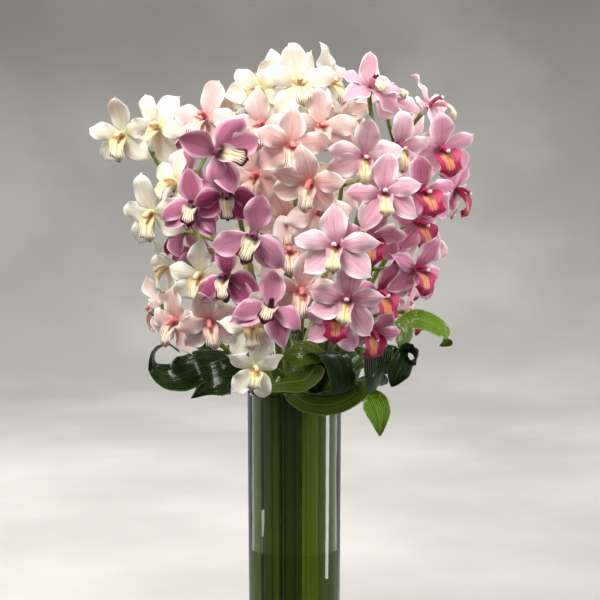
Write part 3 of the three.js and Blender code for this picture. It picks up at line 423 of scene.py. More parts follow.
OUTER = 31
INNER = 14
SPRAYS = {
    "ivory_left": {
        "slot": (OUTER, -98),
        "stem": [(-75, -25, 500), (-110, -8, 585), (-150, 12, 650)],
        "blooms": [
            (-94, -95, 530, -10, 0, 15, 0.92, 0),
            (-129, -30, 535, -75, -10, 10, 0.9, 4),
            (-143, -60, 591, -25, -5, 5, 0.95, -2),
            (-122, -20, 620, -40, 10, -15, 0.9, 0),
            (-177, -22, 670, -22, -5, 12, 0.95, 2),
            (-143, 4, 678, -30, 14, -25, 0.95, -4),
        ],
    },
    "ivory_top": {
        "slot": (INNER, -150),
        "stem": [(-8, 20, 520), (-5, 5, 620), (-2, -22, 692)],
        "blooms": [
            (-34, -50, 714, -20, 10, -15, 0.95, 0),
            (-14, -20, 724, -45, 15, 10, 0.85, 3),
            (8, -70, 721, 12, 5, 0, 1.0, 0),
            (32, -14, 726, 42, 12, 0, 0.95, -2),
            (0, 40, 722, 180, 30, 0, 0.95, 0),
        ],
    },
    "magenta": {
        "slot": (OUTER, -33),
        "stem": [(-35, -92, 500), (-50, -100, 570), (-64, -90, 640)],
        "blooms": [
            (-23, -150, 503, 5, 5, -10, 0.95, 2),
            (-66, -140, 530, -15, 0, 10, 0.9, 0),
            (-38, -150, 572, 0, -5, 0, 1.0, -3),
            (-98, -110, 596, -20, -5, 5, 0.92, 0),
            (-62, -118, 614, 10, -20, 10, 0.85, 2),
            (-76, -138, 652, 25, 5, 75, 1.0, 0),
        ],
    },
    "blush_left": {
        "slot": (INNER, -90),
        "stem": [(-25, -45, 530), (-40, -60, 605), (-58, -48, 668)],
        "blooms": [
            (-31, -112, 622, 0, -15, 0, 0.92, 0),
            (-36, -105, 668, -10, 0, 0, 0.92, 0),
            (-89, -60, 685, -20, 15, 0, 0.95, 0),
            (-77, 15, 680, -160, 20, 0, 0.9, 0),
        ],
    },
    "blush_centre": {
        "slot": (INNER, -30),
        "stem": [(-5, -45, 520), (0, -72, 590), (6, -80, 650)],
        "blooms": [
            (-6, -112, 592, 0, -5, 0, 0.9, 0),
            (15, -130, 625, -5, -10, 0, 0.92, 0),
            (-3, -128, 657, 0, 0, 0, 0.95, 0),
            (25, -100, 680, 10, 10, 0, 0.92, 0),
        ],
    },
    "blush_low": {
        "slot": (INNER, 30),
        "stem": [(6, -42, 450), (10, -72, 510), (16, -74, 565)],
        "blooms": [
            (7, -122, 510, -5, 0, 0, 0.95, 0),
            (1, -112, 554, 0, 0, 0, 0.92, 0),
            (27, -120, 587, 20, -10, 0, 0.92, 0),
        ],
    },
    "rose_top": {
        "slot": (INNER, 90),
        "stem": [(55, -30, 530), (70, -55, 600), (86, -45, 662)],
        "blooms": [
            (69, -115, 648, 15, -5, -10, 0.95, 0),
            (104, -85, 658, 25, -10, 0, 0.9, 0),
            (79, -20, 719, 20, 45, 0, 0.95, 0),
        ],
    },
    "rose_centre": {
        "slot": (OUTER, 33),
        "stem": [(33, -66, 460), (46, -96, 530), (64, -88, 592)],
        "blooms": [
            (50, -138, 519, 5, -5, 0, 0.92, 0),
            (40, -155, 564, 0, 0, 0, 1.0, 0),
            (84, -112, 613, 10, 0, 0, 0.95, 0),
        ],
    },
    "ruby_high": {
        "slot": (OUTER, 98),
        "stem": [(70, -28, 500), (106, -32, 562), (132, -24, 625)],
        "blooms": [
            (128, -62, 580, 40, 0, 0, 0.9, 0),
            (128, -92, 612, 10, -5, 0, 0.92, 0),
            (168, -20, 613, 55, -10, 0, 0.9, 0),
            (149, -50, 655, 15, 0, -5, 0.95, 0),
        ],
    },
    "ruby_low": {
        "slot": (OUTER, 65),
        "stem": [(40, -55, 430), (62, -72, 480), (80, -70, 540)],
        "blooms": [
            (74, -112, 475, 20, -22, 0, 0.8, 0),
            (43, -128, 494, 0, -18, 0, 0.85, 0),
            (88, -98, 513, 32, -10, 0, 0.9, 0),
            (110, -80, 538, 50, -5, 0, 0.92, 0),
            (78, -112, 569, 20, -15, 0, 0.92, 0),
        ],
    },
    "blush_corner": {
        "slot": (OUTER, -65),
        "stem": [(-50, -32, 432), (-78, -45, 457), (-100, -38, 478)],
        "blooms": [
            (-82, -98, 485, -10, 0, 0, 0.88, 0),
            (-120, -70, 481, -30, -5, 0, 0.86, 0),
            (-142, 8, 490, -95, 0, 0, 0.9, 0),
        ],
    },
    "ivory_low": {
        "slot": (OUTER, 0),
        "stem": [(-12, -62, 425), (-28, -92, 443), (-40, -104, 464)],
        "blooms": [
            (-38, -146, 445, 12, -18, -20, 0.74, 0),
            (-40, -140, 484, 5, -5, 0, 0.84, 0),
        ],
    },
    "magenta_back": {
        "slot": (OUTER, -131),
        "stem": [(-65, 38, 500), (-92, 62, 570), (-108, 78, 630)],
        "blooms": [
            (-108, 112, 545, -150, 0, 0, 0.92, 0),
            (-134, 86, 566, -128, 0, 0, 0.92, 0),
            (-88, 126, 592, -160, 0, 0, 0.92, 0),
            (-124, 96, 628, -130, 10, 0, 0.92, 0),
            (-100, 118, 664, -155, 25, 0, 0.92, 0),
        ],
    },
    "ivory_back": {
        "slot": (OUTER, -164),
        "stem": [(-25, 58, 490), (-35, 92, 570), (-36, 90, 650)],
        "blooms": [
            (-52, 142, 540, -160, -5, 0, 0.95, 0),
            (-10, 152, 570, 175, 0, 0, 0.95, 0),
            (-58, 146, 618, -160, 0, 0, 0.95, 0),
            (-14, 150, 652, 175, 5, 0, 0.95, 0),
            (-44, 105, 704, -155, 35, 0, 0.95, 0),
        ],
    },
    "blush_back": {
        "slot": (0, 0),
        "stem": [(26, 56, 490), (44, 92, 560), (56, 92, 640)],
        "blooms": [
            (50, 148, 530, 165, -5, 0, 0.92, 0),
            (90, 130, 560, 140, 0, 0, 0.92, 0),
            (40, 155, 606, 170, 0, 0, 0.92, 0),
            (92, 135, 630, 145, 5, 0, 0.92, 0),
            (50, 120, 696, 165, 30, 0, 0.95, 0),
        ],
    },
    "rose_back": {
        "slot": (INNER, 150),
        "stem": [(60, 28, 510), (92, 38, 590), (110, 36, 655)],
        "blooms": [
            (134, 80, 556, 125, 0, 0, 0.92, 0),
            (152, 52, 608, 105, 0, 0, 0.92, 0),
            (132, 84, 664, 130, 15, 0, 0.92, 0),
            (100, 24, 710, 30, 55, 0, 0.92, 0),
            (142, 0, 700, 65, 30, 0, 0.92, 0),
        ],
    },
    "ivory_back_low": {
        "slot": (OUTER, 164),
        "stem": [(0, 62, 430), (-8, 92, 455), (-8, 104, 485)],
        "blooms": [
            (-40, 138, 462, -160, -15, 0, 0.92, 0),
            (22, 142, 465, 165, -15, 0, 0.92, 0),
            (-4, 158, 506, 180, 0, 0, 0.92, 0),
        ],
    },
    "ruby_back_low": {
        "slot": (OUTER, 131),
        "stem": [(48, 42, 432), (74, 58, 462), (88, 60, 496)],
        "blooms": [
            (84, 108, 466, 145, -15, 0, 0.9, 0),
            (128, 50, 480, 100, -5, 0, 0.9, 0),
            (118, 90, 512, 125, 5, 0, 0.9, 0),
        ],
    },
}

STEM_FOOT = GLASS_FLOOR + 0.6
STEM_WAIST = 200
STEM_MOUTH = VASE_HEIGHT - 4
STEM_TWIST = 14
STEM_RADIUS = 4.4
STEM_TIP_RADIUS = 1.9
STEM_TAPER = 1.4
STEM_ROWS = 90
STEM_SIDES = 14
NODE_SWELLING = 0.35
NODE_SPREAD = 0.22
NODE_PACE = 24
NODES_FROM = 0.3
PEDICELS_FROM = 0.62


def around(azimuth, radius, height):
    """The place at an azimuth in degrees, which grows from the front towards the right."""
    return np.array([radius * sin(radians(azimuth)), -radius * cos(radians(azimuth)), height])


def unit(vectors):
    """The vectors, each at length 1."""
    return vectors / np.linalg.norm(vectors, axis=-1, keepdims=True)


def hump(value, place, spread):
    """A smooth hump of height 1 at a place: exp(-((value - place) / spread)^2)."""
    return np.exp(-(((value - place) / spread) ** 2))


def curve(knots, shares):
    """A centripetal Catmull-Rom curve through the knots, at shares of its spans: the places and
    the unit tangents. A span's length in the curve's own time is its chord to the power 1/2."""
    knots = np.array(knots, float)
    knots = np.concatenate([[2 * knots[0] - knots[1]], knots, [2 * knots[-1] - knots[-2]]])
    spans = len(knots) - 3
    span = np.minimum((shares * spans).astype(int), spans - 1)
    t = (shares * spans - span)[:, None]
    p = [knots[span + i] for i in range(4)]
    times = [np.linalg.norm(b - a, axis=1, keepdims=True) ** 0.5 for a, b in zip(p, p[1:])]
    speeds = [
        (b - a) / s - (c - a) / (s + u) + (c - b) / u
        for a, b, c, s, u in zip(p, p[1:], p[2:], times, times[1:])
    ]
    start, end = (speed * times[1] for speed in speeds)
    third = 2 * p[1] - 2 * p[2] + start + end
    second = 3 * p[2] - 3 * p[1] - 2 * start - end
    places = ((third * t + second) * t + start) * t + p[1]
    return places, unit((3 * third * t + 2 * second) * t + start)


def rod(centres, tangents, radii, sides):
    """The rings of a round rod: point (i, j) is c + r (cos a n + sin a b), where n and b are
    square to the rod and n leans as little as it can towards the axis that the rod spans least."""
    least = np.eye(3)[np.ptp(centres, axis=0).argmin()]
    beside = unit(np.cross(tangents, least))
    normal = np.cross(beside, tangents)
    angle = (np.arange(sides) * tau / sides)[None, :, None]
    turn = normal[:, None] * np.cos(angle) + beside[:, None] * np.sin(angle)
    return centres[:, None] + turn * np.reshape(radii, (-1, 1, 1))


def stem(knots):
    """A stem: a round rod through its knots. Its radius goes from foot to tip with the share of
    its way to the power 1.4, and swells a little at each node above the vase."""
    share = np.linspace(0, 1, STEM_ROWS)
    centres, tangents = curve(knots, share)
    nodes = NODE_SWELLING * hump(np.sin(share * NODE_PACE), 0, NODE_SPREAD) * (share > NODES_FROM)
    radii = STEM_RADIUS + (STEM_TIP_RADIUS - STEM_RADIUS) * share**STEM_TAPER + nodes
    return rod(centres, tangents, radii, STEM_SIDES)


BLOOM_BREADTH = 72
BLOOM_DEPTH = 21
NOD = 0.15
ROOM_ROUNDS = 40
ROOM_STEP = 0.25


class Bloom:
    """A bloom's place, size and own axes: right, up and out of its face."""

    def __init__(self, x, y, z, yaw, pitch, roll, size, lean):
        self.place = np.array([x, y, z], float)
        self.size, self.lean = size, lean
        yaw, pitch, roll = radians(yaw), radians(pitch), radians(roll)
        face = np.array([sin(yaw) * cos(pitch), -cos(yaw) * cos(pitch), sin(pitch)])
        level = np.array([cos(yaw), sin(yaw), 0])
        right = level * cos(roll) + np.cross(face, level) * sin(roll)
        self.face = face
        self.axes = np.array([right, np.cross(face, right), face])

    def nod(self, draw):
        """Tilts the axes a little about all three, and keeps them square."""
        tilt = draw.normal(0, NOD, 3)
        right, _, face = self.axes + np.cross(tilt, self.axes)
        face = unit(face)
        right = unit(right - (right @ face) * face)
        self.axes = np.array([right, np.cross(face, right), face])

    def put(self, points):
        """Carries points from the bloom's own axes to the arrangement's."""
        return self.place + self.size * points @ self.axes


def make_room(blooms):
    """Blooms that face the same way and are too near one another move apart along that way."""
    pairs = [(a, b) for i, a in enumerate(blooms) for b in blooms[i + 1 :]]
    pairs = [(a, b, a.face + b.face) for a, b in pairs]
    pairs = [(a, b, unit(way)) for a, b, way in pairs if np.linalg.norm(way) >= 1]
    for _ in range(ROOM_ROUNDS):
        for a, b, way in pairs:
            gap = b.place - a.place
            axial = gap @ way
            lateral = max(gap @ gap - axial**2, 0) ** 0.5
            breadth = BLOOM_BREADTH * (a.size + b.size) / 2
            if lateral >= breadth:
                continue
            short = BLOOM_DEPTH * (1 - (lateral / breadth) ** 2) ** 0.5 - abs(axial)
            if short > 0:
                push = way * (ROOM_STEP * short * np.sign(axial or 1))
                a.place -= push
                b.place += push


HUB_RADIUS = 4.5
TEPAL_LENGTH = 40
TEPAL_HALF = 13.4
TEPAL_THICKNESS = 1.1
TEPAL_ROWS = 26
TEPAL_SIDES = 20
TEPAL_SUNK = 0.08
BROAD_END = 0.94
BROAD_RISE = 0.74
FOOT_HALF = 0.32
POINT_HALF = 0.2
CURL_FROM = 0.74
MIDRIB_DEPTH = 0.8
MIDRIB_SPREAD = 0.12
SEPAL_BREADTH = 1.02
BACK_BELOW = -0.1
ORGANS = [
    {"petal": True, "angle": 16, "length": 0.95, "width": 0.92, "bow": 5, "tip": 1},
    {"petal": False, "angle": 90, "length": 1.0, "width": 1.0, "bow": 3, "tip": 7},
    {"petal": True, "angle": 164, "length": 0.95, "width": 0.92, "bow": 5, "tip": 1},
    {"petal": False, "angle": 223, "length": 1.0, "width": 0.96, "bow": 1, "tip": -3},
    {"petal": False, "angle": 317, "length": 1.0, "width": 0.96, "bow": 1, "tip": -3},
]
SPREADS = {"tip": 5.5, "bow": 1.8, "twist": 3.4, "bend": 2.6, "angle": 7.5}
HABITS = {
    "ivory": dict(drop=0, sag=0, petal=0.86, tip=8, cup=1.5, fold=-1.6, wave=3.0),
    "magenta": dict(drop=30, sag=9, petal=1.0, tip=5, cup=2.6, fold=-3.6, wave=2.2),
    "blush": dict(drop=6, sag=2, petal=0.96, tip=6, cup=2.4, fold=-1.6, wave=3.0),
    "rose": dict(drop=8, sag=3, petal=0.84, tip=7, cup=1.8, fold=-3.2, wave=2.6),
    "ruby": dict(drop=4, sag=0, petal=0.84, tip=8, cup=1.4, fold=-2.2, wave=2.8),
}


def oval(sides):
    """The ring of a thin blade: the shares across it from -1 to 1, and how far each point is in
    front, at 1, or behind, at -1."""
    turn = np.arange(sides) * tau / sides
    return -np.cos(turn), np.sin(turn)


def tepal(organ, lean, habit, draw):
    """A tepal: at a share v of its length its middle has come r0 + L v out of the hub and
    4 b v (1 - v) + t v^2 forward, less the curl of its point. Its half width is the root of the
    third powers of W (g / m)^a ((1 - g) / (1 - m))^c with g = v / 0.94, of a narrow foot and of
    a narrow point. Its edges rise by cup |u|^1.6, a wave and a twist, and its midrib is sunk."""
    v = (1 - (1 + TEPAL_SUNK) * (1 - np.linspace(0, 0.995, TEPAL_ROWS)) ** 1.35)[:, None]
    u, face = oval(TEPAL_SIDES)
    grow = np.clip(v / BROAD_END, 1e-6, 1)
    fall = draw.uniform(0.62, 1.0)
    widest = BROAD_RISE / (BROAD_RISE + fall)
    broad = (grow / widest) ** BROAD_RISE * ((1 - grow) / (1 - widest)) ** fall
    point = POINT_HALF * np.clip(1 - v, 0, 1) ** 0.5
    share = (broad**3 + (FOOT_HALF * (1 - v)) ** 3 + point**3) ** (1 / 3)
    petal = organ["petal"]
    half = TEPAL_HALF * organ["width"] * share * (habit["petal"] if petal else SEPAL_BREADTH)
    tip = organ["tip"] + lean + draw.normal(0, SPREADS["tip"])
    bow = organ["bow"] + draw.normal(0, SPREADS["bow"])
    reach = HUB_RADIUS + TEPAL_LENGTH * organ["length"] * draw.uniform(0.92, 1.03) * v
    curl = habit["tip"] * draw.uniform(-0.1, 1.4)
    curl = curl * np.clip((v - CURL_FROM) / (1 - CURL_FROM), 0, 1) ** 2
    forward = bow * 4 * v * (1 - v) + tip * v**2 - curl
    slope = np.gradient(forward[:, 0], reach[:, 0])[:, None]
    normal = unit(np.stack([-slope, 0 * slope, 1 + 0 * slope], -1))
    swell = np.sin(np.clip(v, 0, 1) * pi)
    wave = np.sin(v * draw.uniform(7, 12) + draw.uniform(0, 6) + 1.5 * u) * abs(u) ** 3
    cup = (habit["fold"] if petal else habit["cup"]) * draw.uniform(0.5, 1.5)
    twist = draw.normal(0, SPREADS["twist"])
    midrib = MIDRIB_DEPTH * hump(u, 0, MIDRIB_SPREAD) * np.clip(1 - v, 0, 1)
    lift = swell * (cup * abs(u) ** 1.6 + habit["wave"] * wave + twist * u * v)
    lift = lift - midrib * (0.3 if petal else 1)
    lift = lift + TEPAL_THICKNESS / 2 * face * np.clip(share * 3, 0.2, 1)
    side = -1 if organ["angle"] > 90 else 1
    bend = (draw.normal(0, SPREADS["bend"]) - petal * habit["sag"] * side) * v**2
    points = np.stack([reach + 0 * u, half * u + bend, forward + 0 * u], -1)
    points = points + normal * lift[..., None]
    drop = habit["drop"] * (1 if petal else -0.3 * (organ["angle"] > 180)) * side
    angle = radians(organ["angle"] - drop + draw.normal(0, SPREADS["angle"]))
    out = np.array([[cos(angle), sin(angle), 0], [-sin(angle), cos(angle), 0], [0, 0, 1]])
    return points @ out, (u + 1) / 2, v, face < BACK_BELOW


LIP_ROWS = 30
LIP_SIDES = 34
LIP_HALF = 7.4
SIDE_LOBE = 5
SIDE_LOBE_AT = 0.26
MIDDLE_LOBE = 3.6
MIDDLE_LOBE_AT = 0.8
LOBE_SPREAD = 0.18
LIP_BENDS = {0: 60, 0.1: 66, 0.25: 62, 0.4: 44, 0.55: 16, 0.7: -8, 0.85: -26, 1: -38}
LIP_WIDTHS = {"ivory": 0.92, "magenta": 0.88, "blush": 0.88, "rose": 0.78, "ruby": 1.4}
LIP_CUPS = {"ivory": 1.0, "magenta": 1.1, "blush": 1.0, "rose": 1.0, "ruby": 0.72}
RUFFLE = 3.2
RUFFLE_FROM = 0.5
RUFFLE_WAVES = 9
KEEL_HEIGHT = 1.3
KEEL_AT = 0.17
KEEL_SPREAD = 0.075
KEEL_START = 0.06
KEEL_END = 0.62


def lip(width, cup, draw):
    """A lip: its cross section at a share v of its middle line is an arc of the half length w
    that bends by the angle b on either side, x = w sin(b u) / b, rising w (1 - cos(b u)) / b. The
    middle line is a cubic Bezier curve, and the cup multiplies the bends: the side lobes stand up
    beside the column, and the ruffled middle lobe turns down. Two keels run down its middle."""
    v = np.linspace(0, 1, LIP_ROWS)[:, None]
    u, face = oval(LIP_SIDES)
    weights = [(1 - v) ** 3, 3 * v * (1 - v) ** 2, 3 * v**2 * (1 - v), v**3]
    pulls = [(-2.5, 2), (-6, 16), (-20, 30), (-27 + draw.uniform(0, 1), 16.5 + draw.normal(0, 1))]
    y, z = sum(w[..., None] * np.array(p) for w, p in zip(weights, pulls))[:, 0].T
    ty, tz = unit(np.stack([np.gradient(y), np.gradient(z)], -1)).T
    normal = np.stack([0 * ty, tz, -ty], -1)[:, None]
    half = LIP_HALF + SIDE_LOBE * hump(v, SIDE_LOBE_AT, LOBE_SPREAD)
    half = half + MIDDLE_LOBE * hump(v, MIDDLE_LOBE_AT, LOBE_SPREAD)
    half = width * half * (1 - v**7) ** 0.5 * np.clip(v * 9 + 0.35, 0, 1)
    bend = np.radians(np.interp(v, list(LIP_BENDS), list(LIP_BENDS.values())))
    bend = bend * cup * draw.uniform(0.9, 1.1) * u
    across = half * u * np.sinc(bend / pi)
    lift = half * u * np.sin(bend / 2) * np.sinc(bend / tau)
    margin = np.clip(np.hypot(u, (v - 0.55) / 0.45 * (v > 0.55)) - 0.55, 0, 1)
    ruffle = np.sin(RUFFLE_WAVES * np.arctan2(u, v - 0.62) + draw.uniform(0, 6))
    lift = lift + RUFFLE * margin * ruffle * np.clip((v - RUFFLE_FROM) * 4, 0, 1)
    keels = hump(abs(u), KEEL_AT, KEEL_SPREAD)
    keels = keels * np.clip(16 * (v - KEEL_START) * (KEEL_END - v), 0, 1)
    lift = lift + (0.45 * face + KEEL_HEIGHT * keels * (face > 0.1)) * (1 - 0.5 * v**7)
    points = np.stack([across, y[:, None] + 0 * u, z[:, None] + 0 * u], -1)
    return points + normal * lift[..., None], (u + 1) / 2, v, face < BACK_BELOW


COLUMN_LENGTH = 20
COLUMN_ARCH = 3.2
COLUMN_DROP = 0.6
COLUMN_RADIUS = 2.6
COLUMN_SWELLING = 0.8
COLUMN_HOLLOW = 0.5
CAP_AT = 0.9
CAP_SPREAD = 0.09
CAP_END = [0.92, 0.72, 0.35]
PEDICEL_REACH = 36
PEDICEL_ELBOW = 18
PEDICEL_FALL = 12
PEDICEL_RADIUS = 2.7
PEDICEL_TAPER = 0.8


def column():
    """A column: a rod that arches over the lip by 3.2 sin(0.95 pi v). It swells at its foot and
    at its cap, its last rings close the cap, and it is hollowed below."""
    v = np.linspace(0, 1, 16)
    y = COLUMN_ARCH * np.sin(pi * v * 0.95) - COLUMN_DROP * v
    centres = np.stack([0 * v, y, COLUMN_LENGTH * v], -1)
    radii = COLUMN_RADIUS + COLUMN_SWELLING * (1 - v) ** 2
    radii = radii + COLUMN_SWELLING * hump(v, CAP_AT, CAP_SPREAD)
    radii[-len(CAP_END) :] *= CAP_END
    tangents = unit(np.gradient(centres, axis=0))
    rings = rod(centres, tangents, radii, STEM_SIDES)
    below = np.clip((y[:, None] - rings[..., 1]) / radii[:, None], 0, 1)
    rings[..., 1] += COLUMN_HOLLOW * radii[:, None] * below**2 * (v < 0.85)[:, None]
    return rings, 0.5, v[:, None], below


def pedicel(stem_top, bloom):
    """A stalk from behind the bloom's hub to the nearest place on the stem's upper part: a
    quadratic Bezier curve whose middle point lies straight behind the bloom."""
    behind = bloom.place - PEDICEL_REACH * bloom.face - [0, 0, PEDICEL_FALL]
    foot = stem_top[np.linalg.norm(stem_top - behind, axis=1).argmin()]
    elbow = bloom.place - PEDICEL_ELBOW * bloom.face
    t = np.linspace(0, 1, 12)[:, None]
    centres = (1 - t) ** 2 * bloom.place + 2 * t * (1 - t) * elbow + t**2 * foot
    tangents = unit(2 * (1 - t) * (elbow - bloom.place) + 2 * t * (foot - elbow))
    return rod(centres, tangents, PEDICEL_RADIUS - PEDICEL_TAPER * t, 10)


PETALS = {
    "ivory": dict(body="f4efe2", rim="fbf8f0", rib="e2dcbe", root="d2d49c", back="ece5cf"),
    "magenta": dict(body="a2446e", rim="ecbcd0", rib="6c183e", root="4a0a26", back="b86c8e"),
    "blush": dict(body="edcbc4", rim="fdf2ea", rib="d4928e", root="d89c8c", back="efd8cc"),
    "rose": dict(body="e9b8c6", rim="fdeef0", rib="c27690", root="a44c6c", back="eecad0"),
    "ruby": dict(body="e394b6", rim="fde6ee", rib="b03a6a", root="942a58", back="e8b2c4"),
}
PETAL_VALUES = {
    "IOR": 1.4, "Sheen Weight": 0.08, "Subsurface Weight": 0.15, "Subsurface Scale": 0.004,
}
PETAL_RELIEF = 0.0004
# The last colour of each lip row is painted shade at the lip's base, beneath the column.
LIP_PARTS = ("centre", "margin", "side", "mark", "keel", "back", "painted_throat_shade")
LIPS = {
    "ivory": ("f3e9c8", "f6f0de", "efd9a8", "6e1a34", "e8b93a", "e6c898", "b87a3c"),
    "magenta": ("e9dcbc", "4e0a26", "e6cdbf", "5c1030", "d9bf6e", "b0608c", "2a0512"),
    "blush": ("f6e6d2", "f3dcd6", "f0c6b6", "7c1438", "e9a04a", "eec4bc", "a83c50"),
    "rose": ("f4e6b4", "f5e6d6", "e0a8ae", "8c2040", "e6c040", "dc9aac", "8c2c4c"),
    "ruby": ("d98c72", "b01c50", "bc3466", "860c32", "d8963e", "d06488", "6c0a2a"),
}
MARGIN_FROM = {"ivory": 1.4, "magenta": 0.88, "blush": 1.4, "rose": 1.4, "ruby": 0.5}
MARKS_FROM = {"ivory": 0.66, "magenta": 0.42, "blush": 0.52, "rose": 0.85, "ruby": 0.3}
MARK_STRENGTH = {"ivory": 0.85, "magenta": 0.9, "blush": 1.0, "rose": 0.5, "ruby": 0.6}
# Each column's below colour is painted shade for the hollow under it.
COLUMNS = {
    "ivory": dict(body="f0e2ba", below="b8703c", cap="f0daae"),
    "magenta": dict(body="8e3c64", below="26040f", cap="360818"),
    "blush": dict(body="de7a80", below="b03048", cap="eba48c"),
    "rose": dict(body="9c3660", below="5c1030", cap="f4e6da"),
    "ruby": dict(body="b83262", below="6e0e30", cap="f8eee0"),
}


def surface_paints(finish):
    """The map's shares, across from -1 to 1 and along from 0 to 1, and the three marks."""
    surface = finish.node("UVMap", {}, {"uv_map": "surface"}, "UV")
    marks = finish.node("Attribute", {}, {"attribute_name": "marks"}, "Vector")
    across, along, _ = finish.parts(surface)
    return [across * 2 - 1, along, *finish.parts(marks)]


def streaks(finish, across, along, seed, u, v):
    """Long soft streaks that run along the surface, from 0 to 1."""
    place = finish.node("CombineXYZ", {0: u * across, 1: v * along, 2: seed})
    return finish.noise(place, 1, 3)


def petal_finish(tint):
    """Pale edges and tip, brightest in a thin line at the edge that is partly a painted rim
    highlight, a midrib with fine veins, a dark root, and a duller back. Each bloom is a little
    paler or darker by its own tone."""
    shades = {part: colour(code) for part, code in PETALS[tint].items()}
    finish = Finish(tint + "_tepals", PETAL_VALUES)
    u, v, tone, back, _ = surface_paints(finish)
    edge = abs(u)
    veins = streaks(finish, 15, 1.3, tone * 9, u, v)
    clouds = streaks(finish, 1.6, 2.2, tone * 5 + 3, u, v)
    skin = finish.mix(finish.rise(edge + clouds * 0.4, 0.7, 1.15), shades["body"], shades["rim"])
    skin = finish.mix(finish.rise(v + clouds * 0.3, 0.9, 1.25), skin, shades["rim"])
    rib = finish.rise(edge + veins * 0.1, 0.17, 0.03, 0.6) * finish.rise(v, 1.0, 0.2)
    skin = finish.mix(rib + finish.rise(veins, 0.46, 0.66, 0.42), skin, shades["rib"])
    skin = finish.mix(finish.rise(v + clouds * 0.2, 0.42, 0.1, 0.8), skin, shades["root"])
    skin = finish.mix(back * 0.6, skin, shades["back"])
    skin = finish.mix(finish.rise(tone, 0, 1, 0.32), skin, shades["rim"])
    skin = finish.mix(finish.rise(tone, 0, -1, 0.22), skin, shades["rib"])
    # A thin line at the very edge: the pale margin, made brighter as a painted rim highlight.
    skin = finish.mix(finish.rise(edge, 0.82, 0.94, 0.8), skin, shades["rim"])
    finish.paint(
        base_color=skin,
        roughness=0.42 + clouds * 0.25,
        normal=finish.bump(veins + clouds, PETAL_RELIEF),
    )
    return finish


def lip_finish(tint):
    """A margin of its own colour, tinted side lobes, marks that run out along the middle lobe,
    yellow flecks on the keels with a fine seam between them, and painted shade that darkens its
    base beneath the column."""
    shades = {part: colour(code) for part, code in zip(LIP_PARTS, LIPS[tint])}
    finish = Finish(tint + "_lip", PETAL_VALUES)
    u, v, tone, back, _ = surface_paints(finish)
    edge = abs(u)
    ahead = finish.rise(v, 0.5, 1)
    out = (u * u + ahead * ahead) ** 0.5
    lines = streaks(finish, 9, 1.2, tone * 7, u, v)
    margin = finish.rise(out + lines * 0.3, MARGIN_FROM[tint], MARGIN_FROM[tint] + 0.16)
    skin = finish.mix(margin, shades["centre"], shades["margin"])
    skin = finish.mix(finish.rise(out, 0.5, 1.1, 0.5), skin, shades["margin"])
    sides = finish.rise(edge + lines * 0.2, 0.35, 0.6) * finish.rise(v, 0.56, 0.42)
    skin = finish.mix(sides, skin, shades["side"])
    ray = finish.rise(finish.sine(u * 24 + lines * 4), 0.3, 0.75)
    marked = ray * finish.rise(out + lines * 0.2, MARKS_FROM[tint], MARKS_FROM[tint] + 0.15)
    marked = marked * finish.rise(v, 0.3, 0.5) * MARK_STRENGTH[tint]
    skin = finish.mix(marked, skin, shades["mark"])
    flecks = streaks(finish, 6, 7, tone * 4 + 2, u, v)
    keel = finish.rise(edge + flecks * 0.2, 0.4, 0.2, 0.9)
    keel = keel * finish.rise(v + flecks * 0.3, 0.85, 0.6) * finish.rise(flecks, 0.38, 0.52)
    skin = finish.mix(keel, skin, shades["keel"])
    seam = finish.rise(edge, 0.05, 0.02, 0.6) * finish.rise(v, 0.9, 0.7)
    skin = finish.mix(seam, skin, shades["mark"])
    # Painted shade: the lip's base beneath the column goes dark.
    skin = finish.mix(finish.rise(v + lines * 0.1, 0.3, 0.16, 0.85), skin, shades["painted_throat_shade"])
    skin = finish.mix(back * 0.8, skin, shades["back"])
    relief = finish.bump(lines, PETAL_RELIEF)
    finish.paint(base_color=skin, roughness=0.4 + lines * 0.2, normal=relief)
    return finish


def column_finish(tint):
    """A fine grained skin, painted shade in the hollow below, and a pale cap at its end."""
    shades = {part: colour(code) for part, code in COLUMNS[tint].items()}
    finish = Finish(tint + "_column", PETAL_VALUES)
    _, v, _, below, _ = surface_paints(finish)
    grain = finish.noise(finish.place(), 700)
    # Painted shade: the hollow under the column is darkened.
    under = finish.rise(below + grain * 0.3, 0.3, 0.6) * finish.rise(v, 0.2, 0.5)
    skin = finish.mix(under, shades["body"], shades["below"])
    cap = finish.rise(v, 0.9, 0.93) * finish.rise(below, 0.75, 0.5)
    skin = finish.mix(cap, skin, shades["cap"])
    relief = finish.bump(grain, PETAL_RELIEF / 2)
    finish.paint(base_color=skin, roughness=0.35 + grain * 0.15, normal=relief)
    return finish


stalk = Finish("flower_stalk", {"IOR": 1.45})
fibre = stalk.noise(stalk.stretched(1, 1, 0.08), 300)
patch = stalk.noise(stalk.place(), 26)
rind = stalk.mix(stalk.rise(patch, 0.4, 0.65), colour("5c7226"), colour("8c9440"))
rind = stalk.mix(stalk.rise(fibre, 0.45, 0.7, 0.5), rind, colour("46581c"))
stalk.paint(base_color=rind, roughness=0.4 + fibre * 0.2, normal=stalk.bump(fibre, 0.0003))

BOX_MARGIN = 0.3
finishes = {t: (petal_finish(t), lip_finish(t), column_finish(t), stalk) for t in HABITS}
TEPAL_PART, LIP_PART, COLUMN_PART, STALK_PART = range(4)
blooms = {name: [Bloom(*row) for row in spray["blooms"]] for name, spray in SPRAYS.items()}
make_room([bloom for group in blooms.values() for bloom in group])
box_low, box_high = np.array(cad_bounds) / MM + [[BOX_MARGIN], [-BOX_MARGIN]]

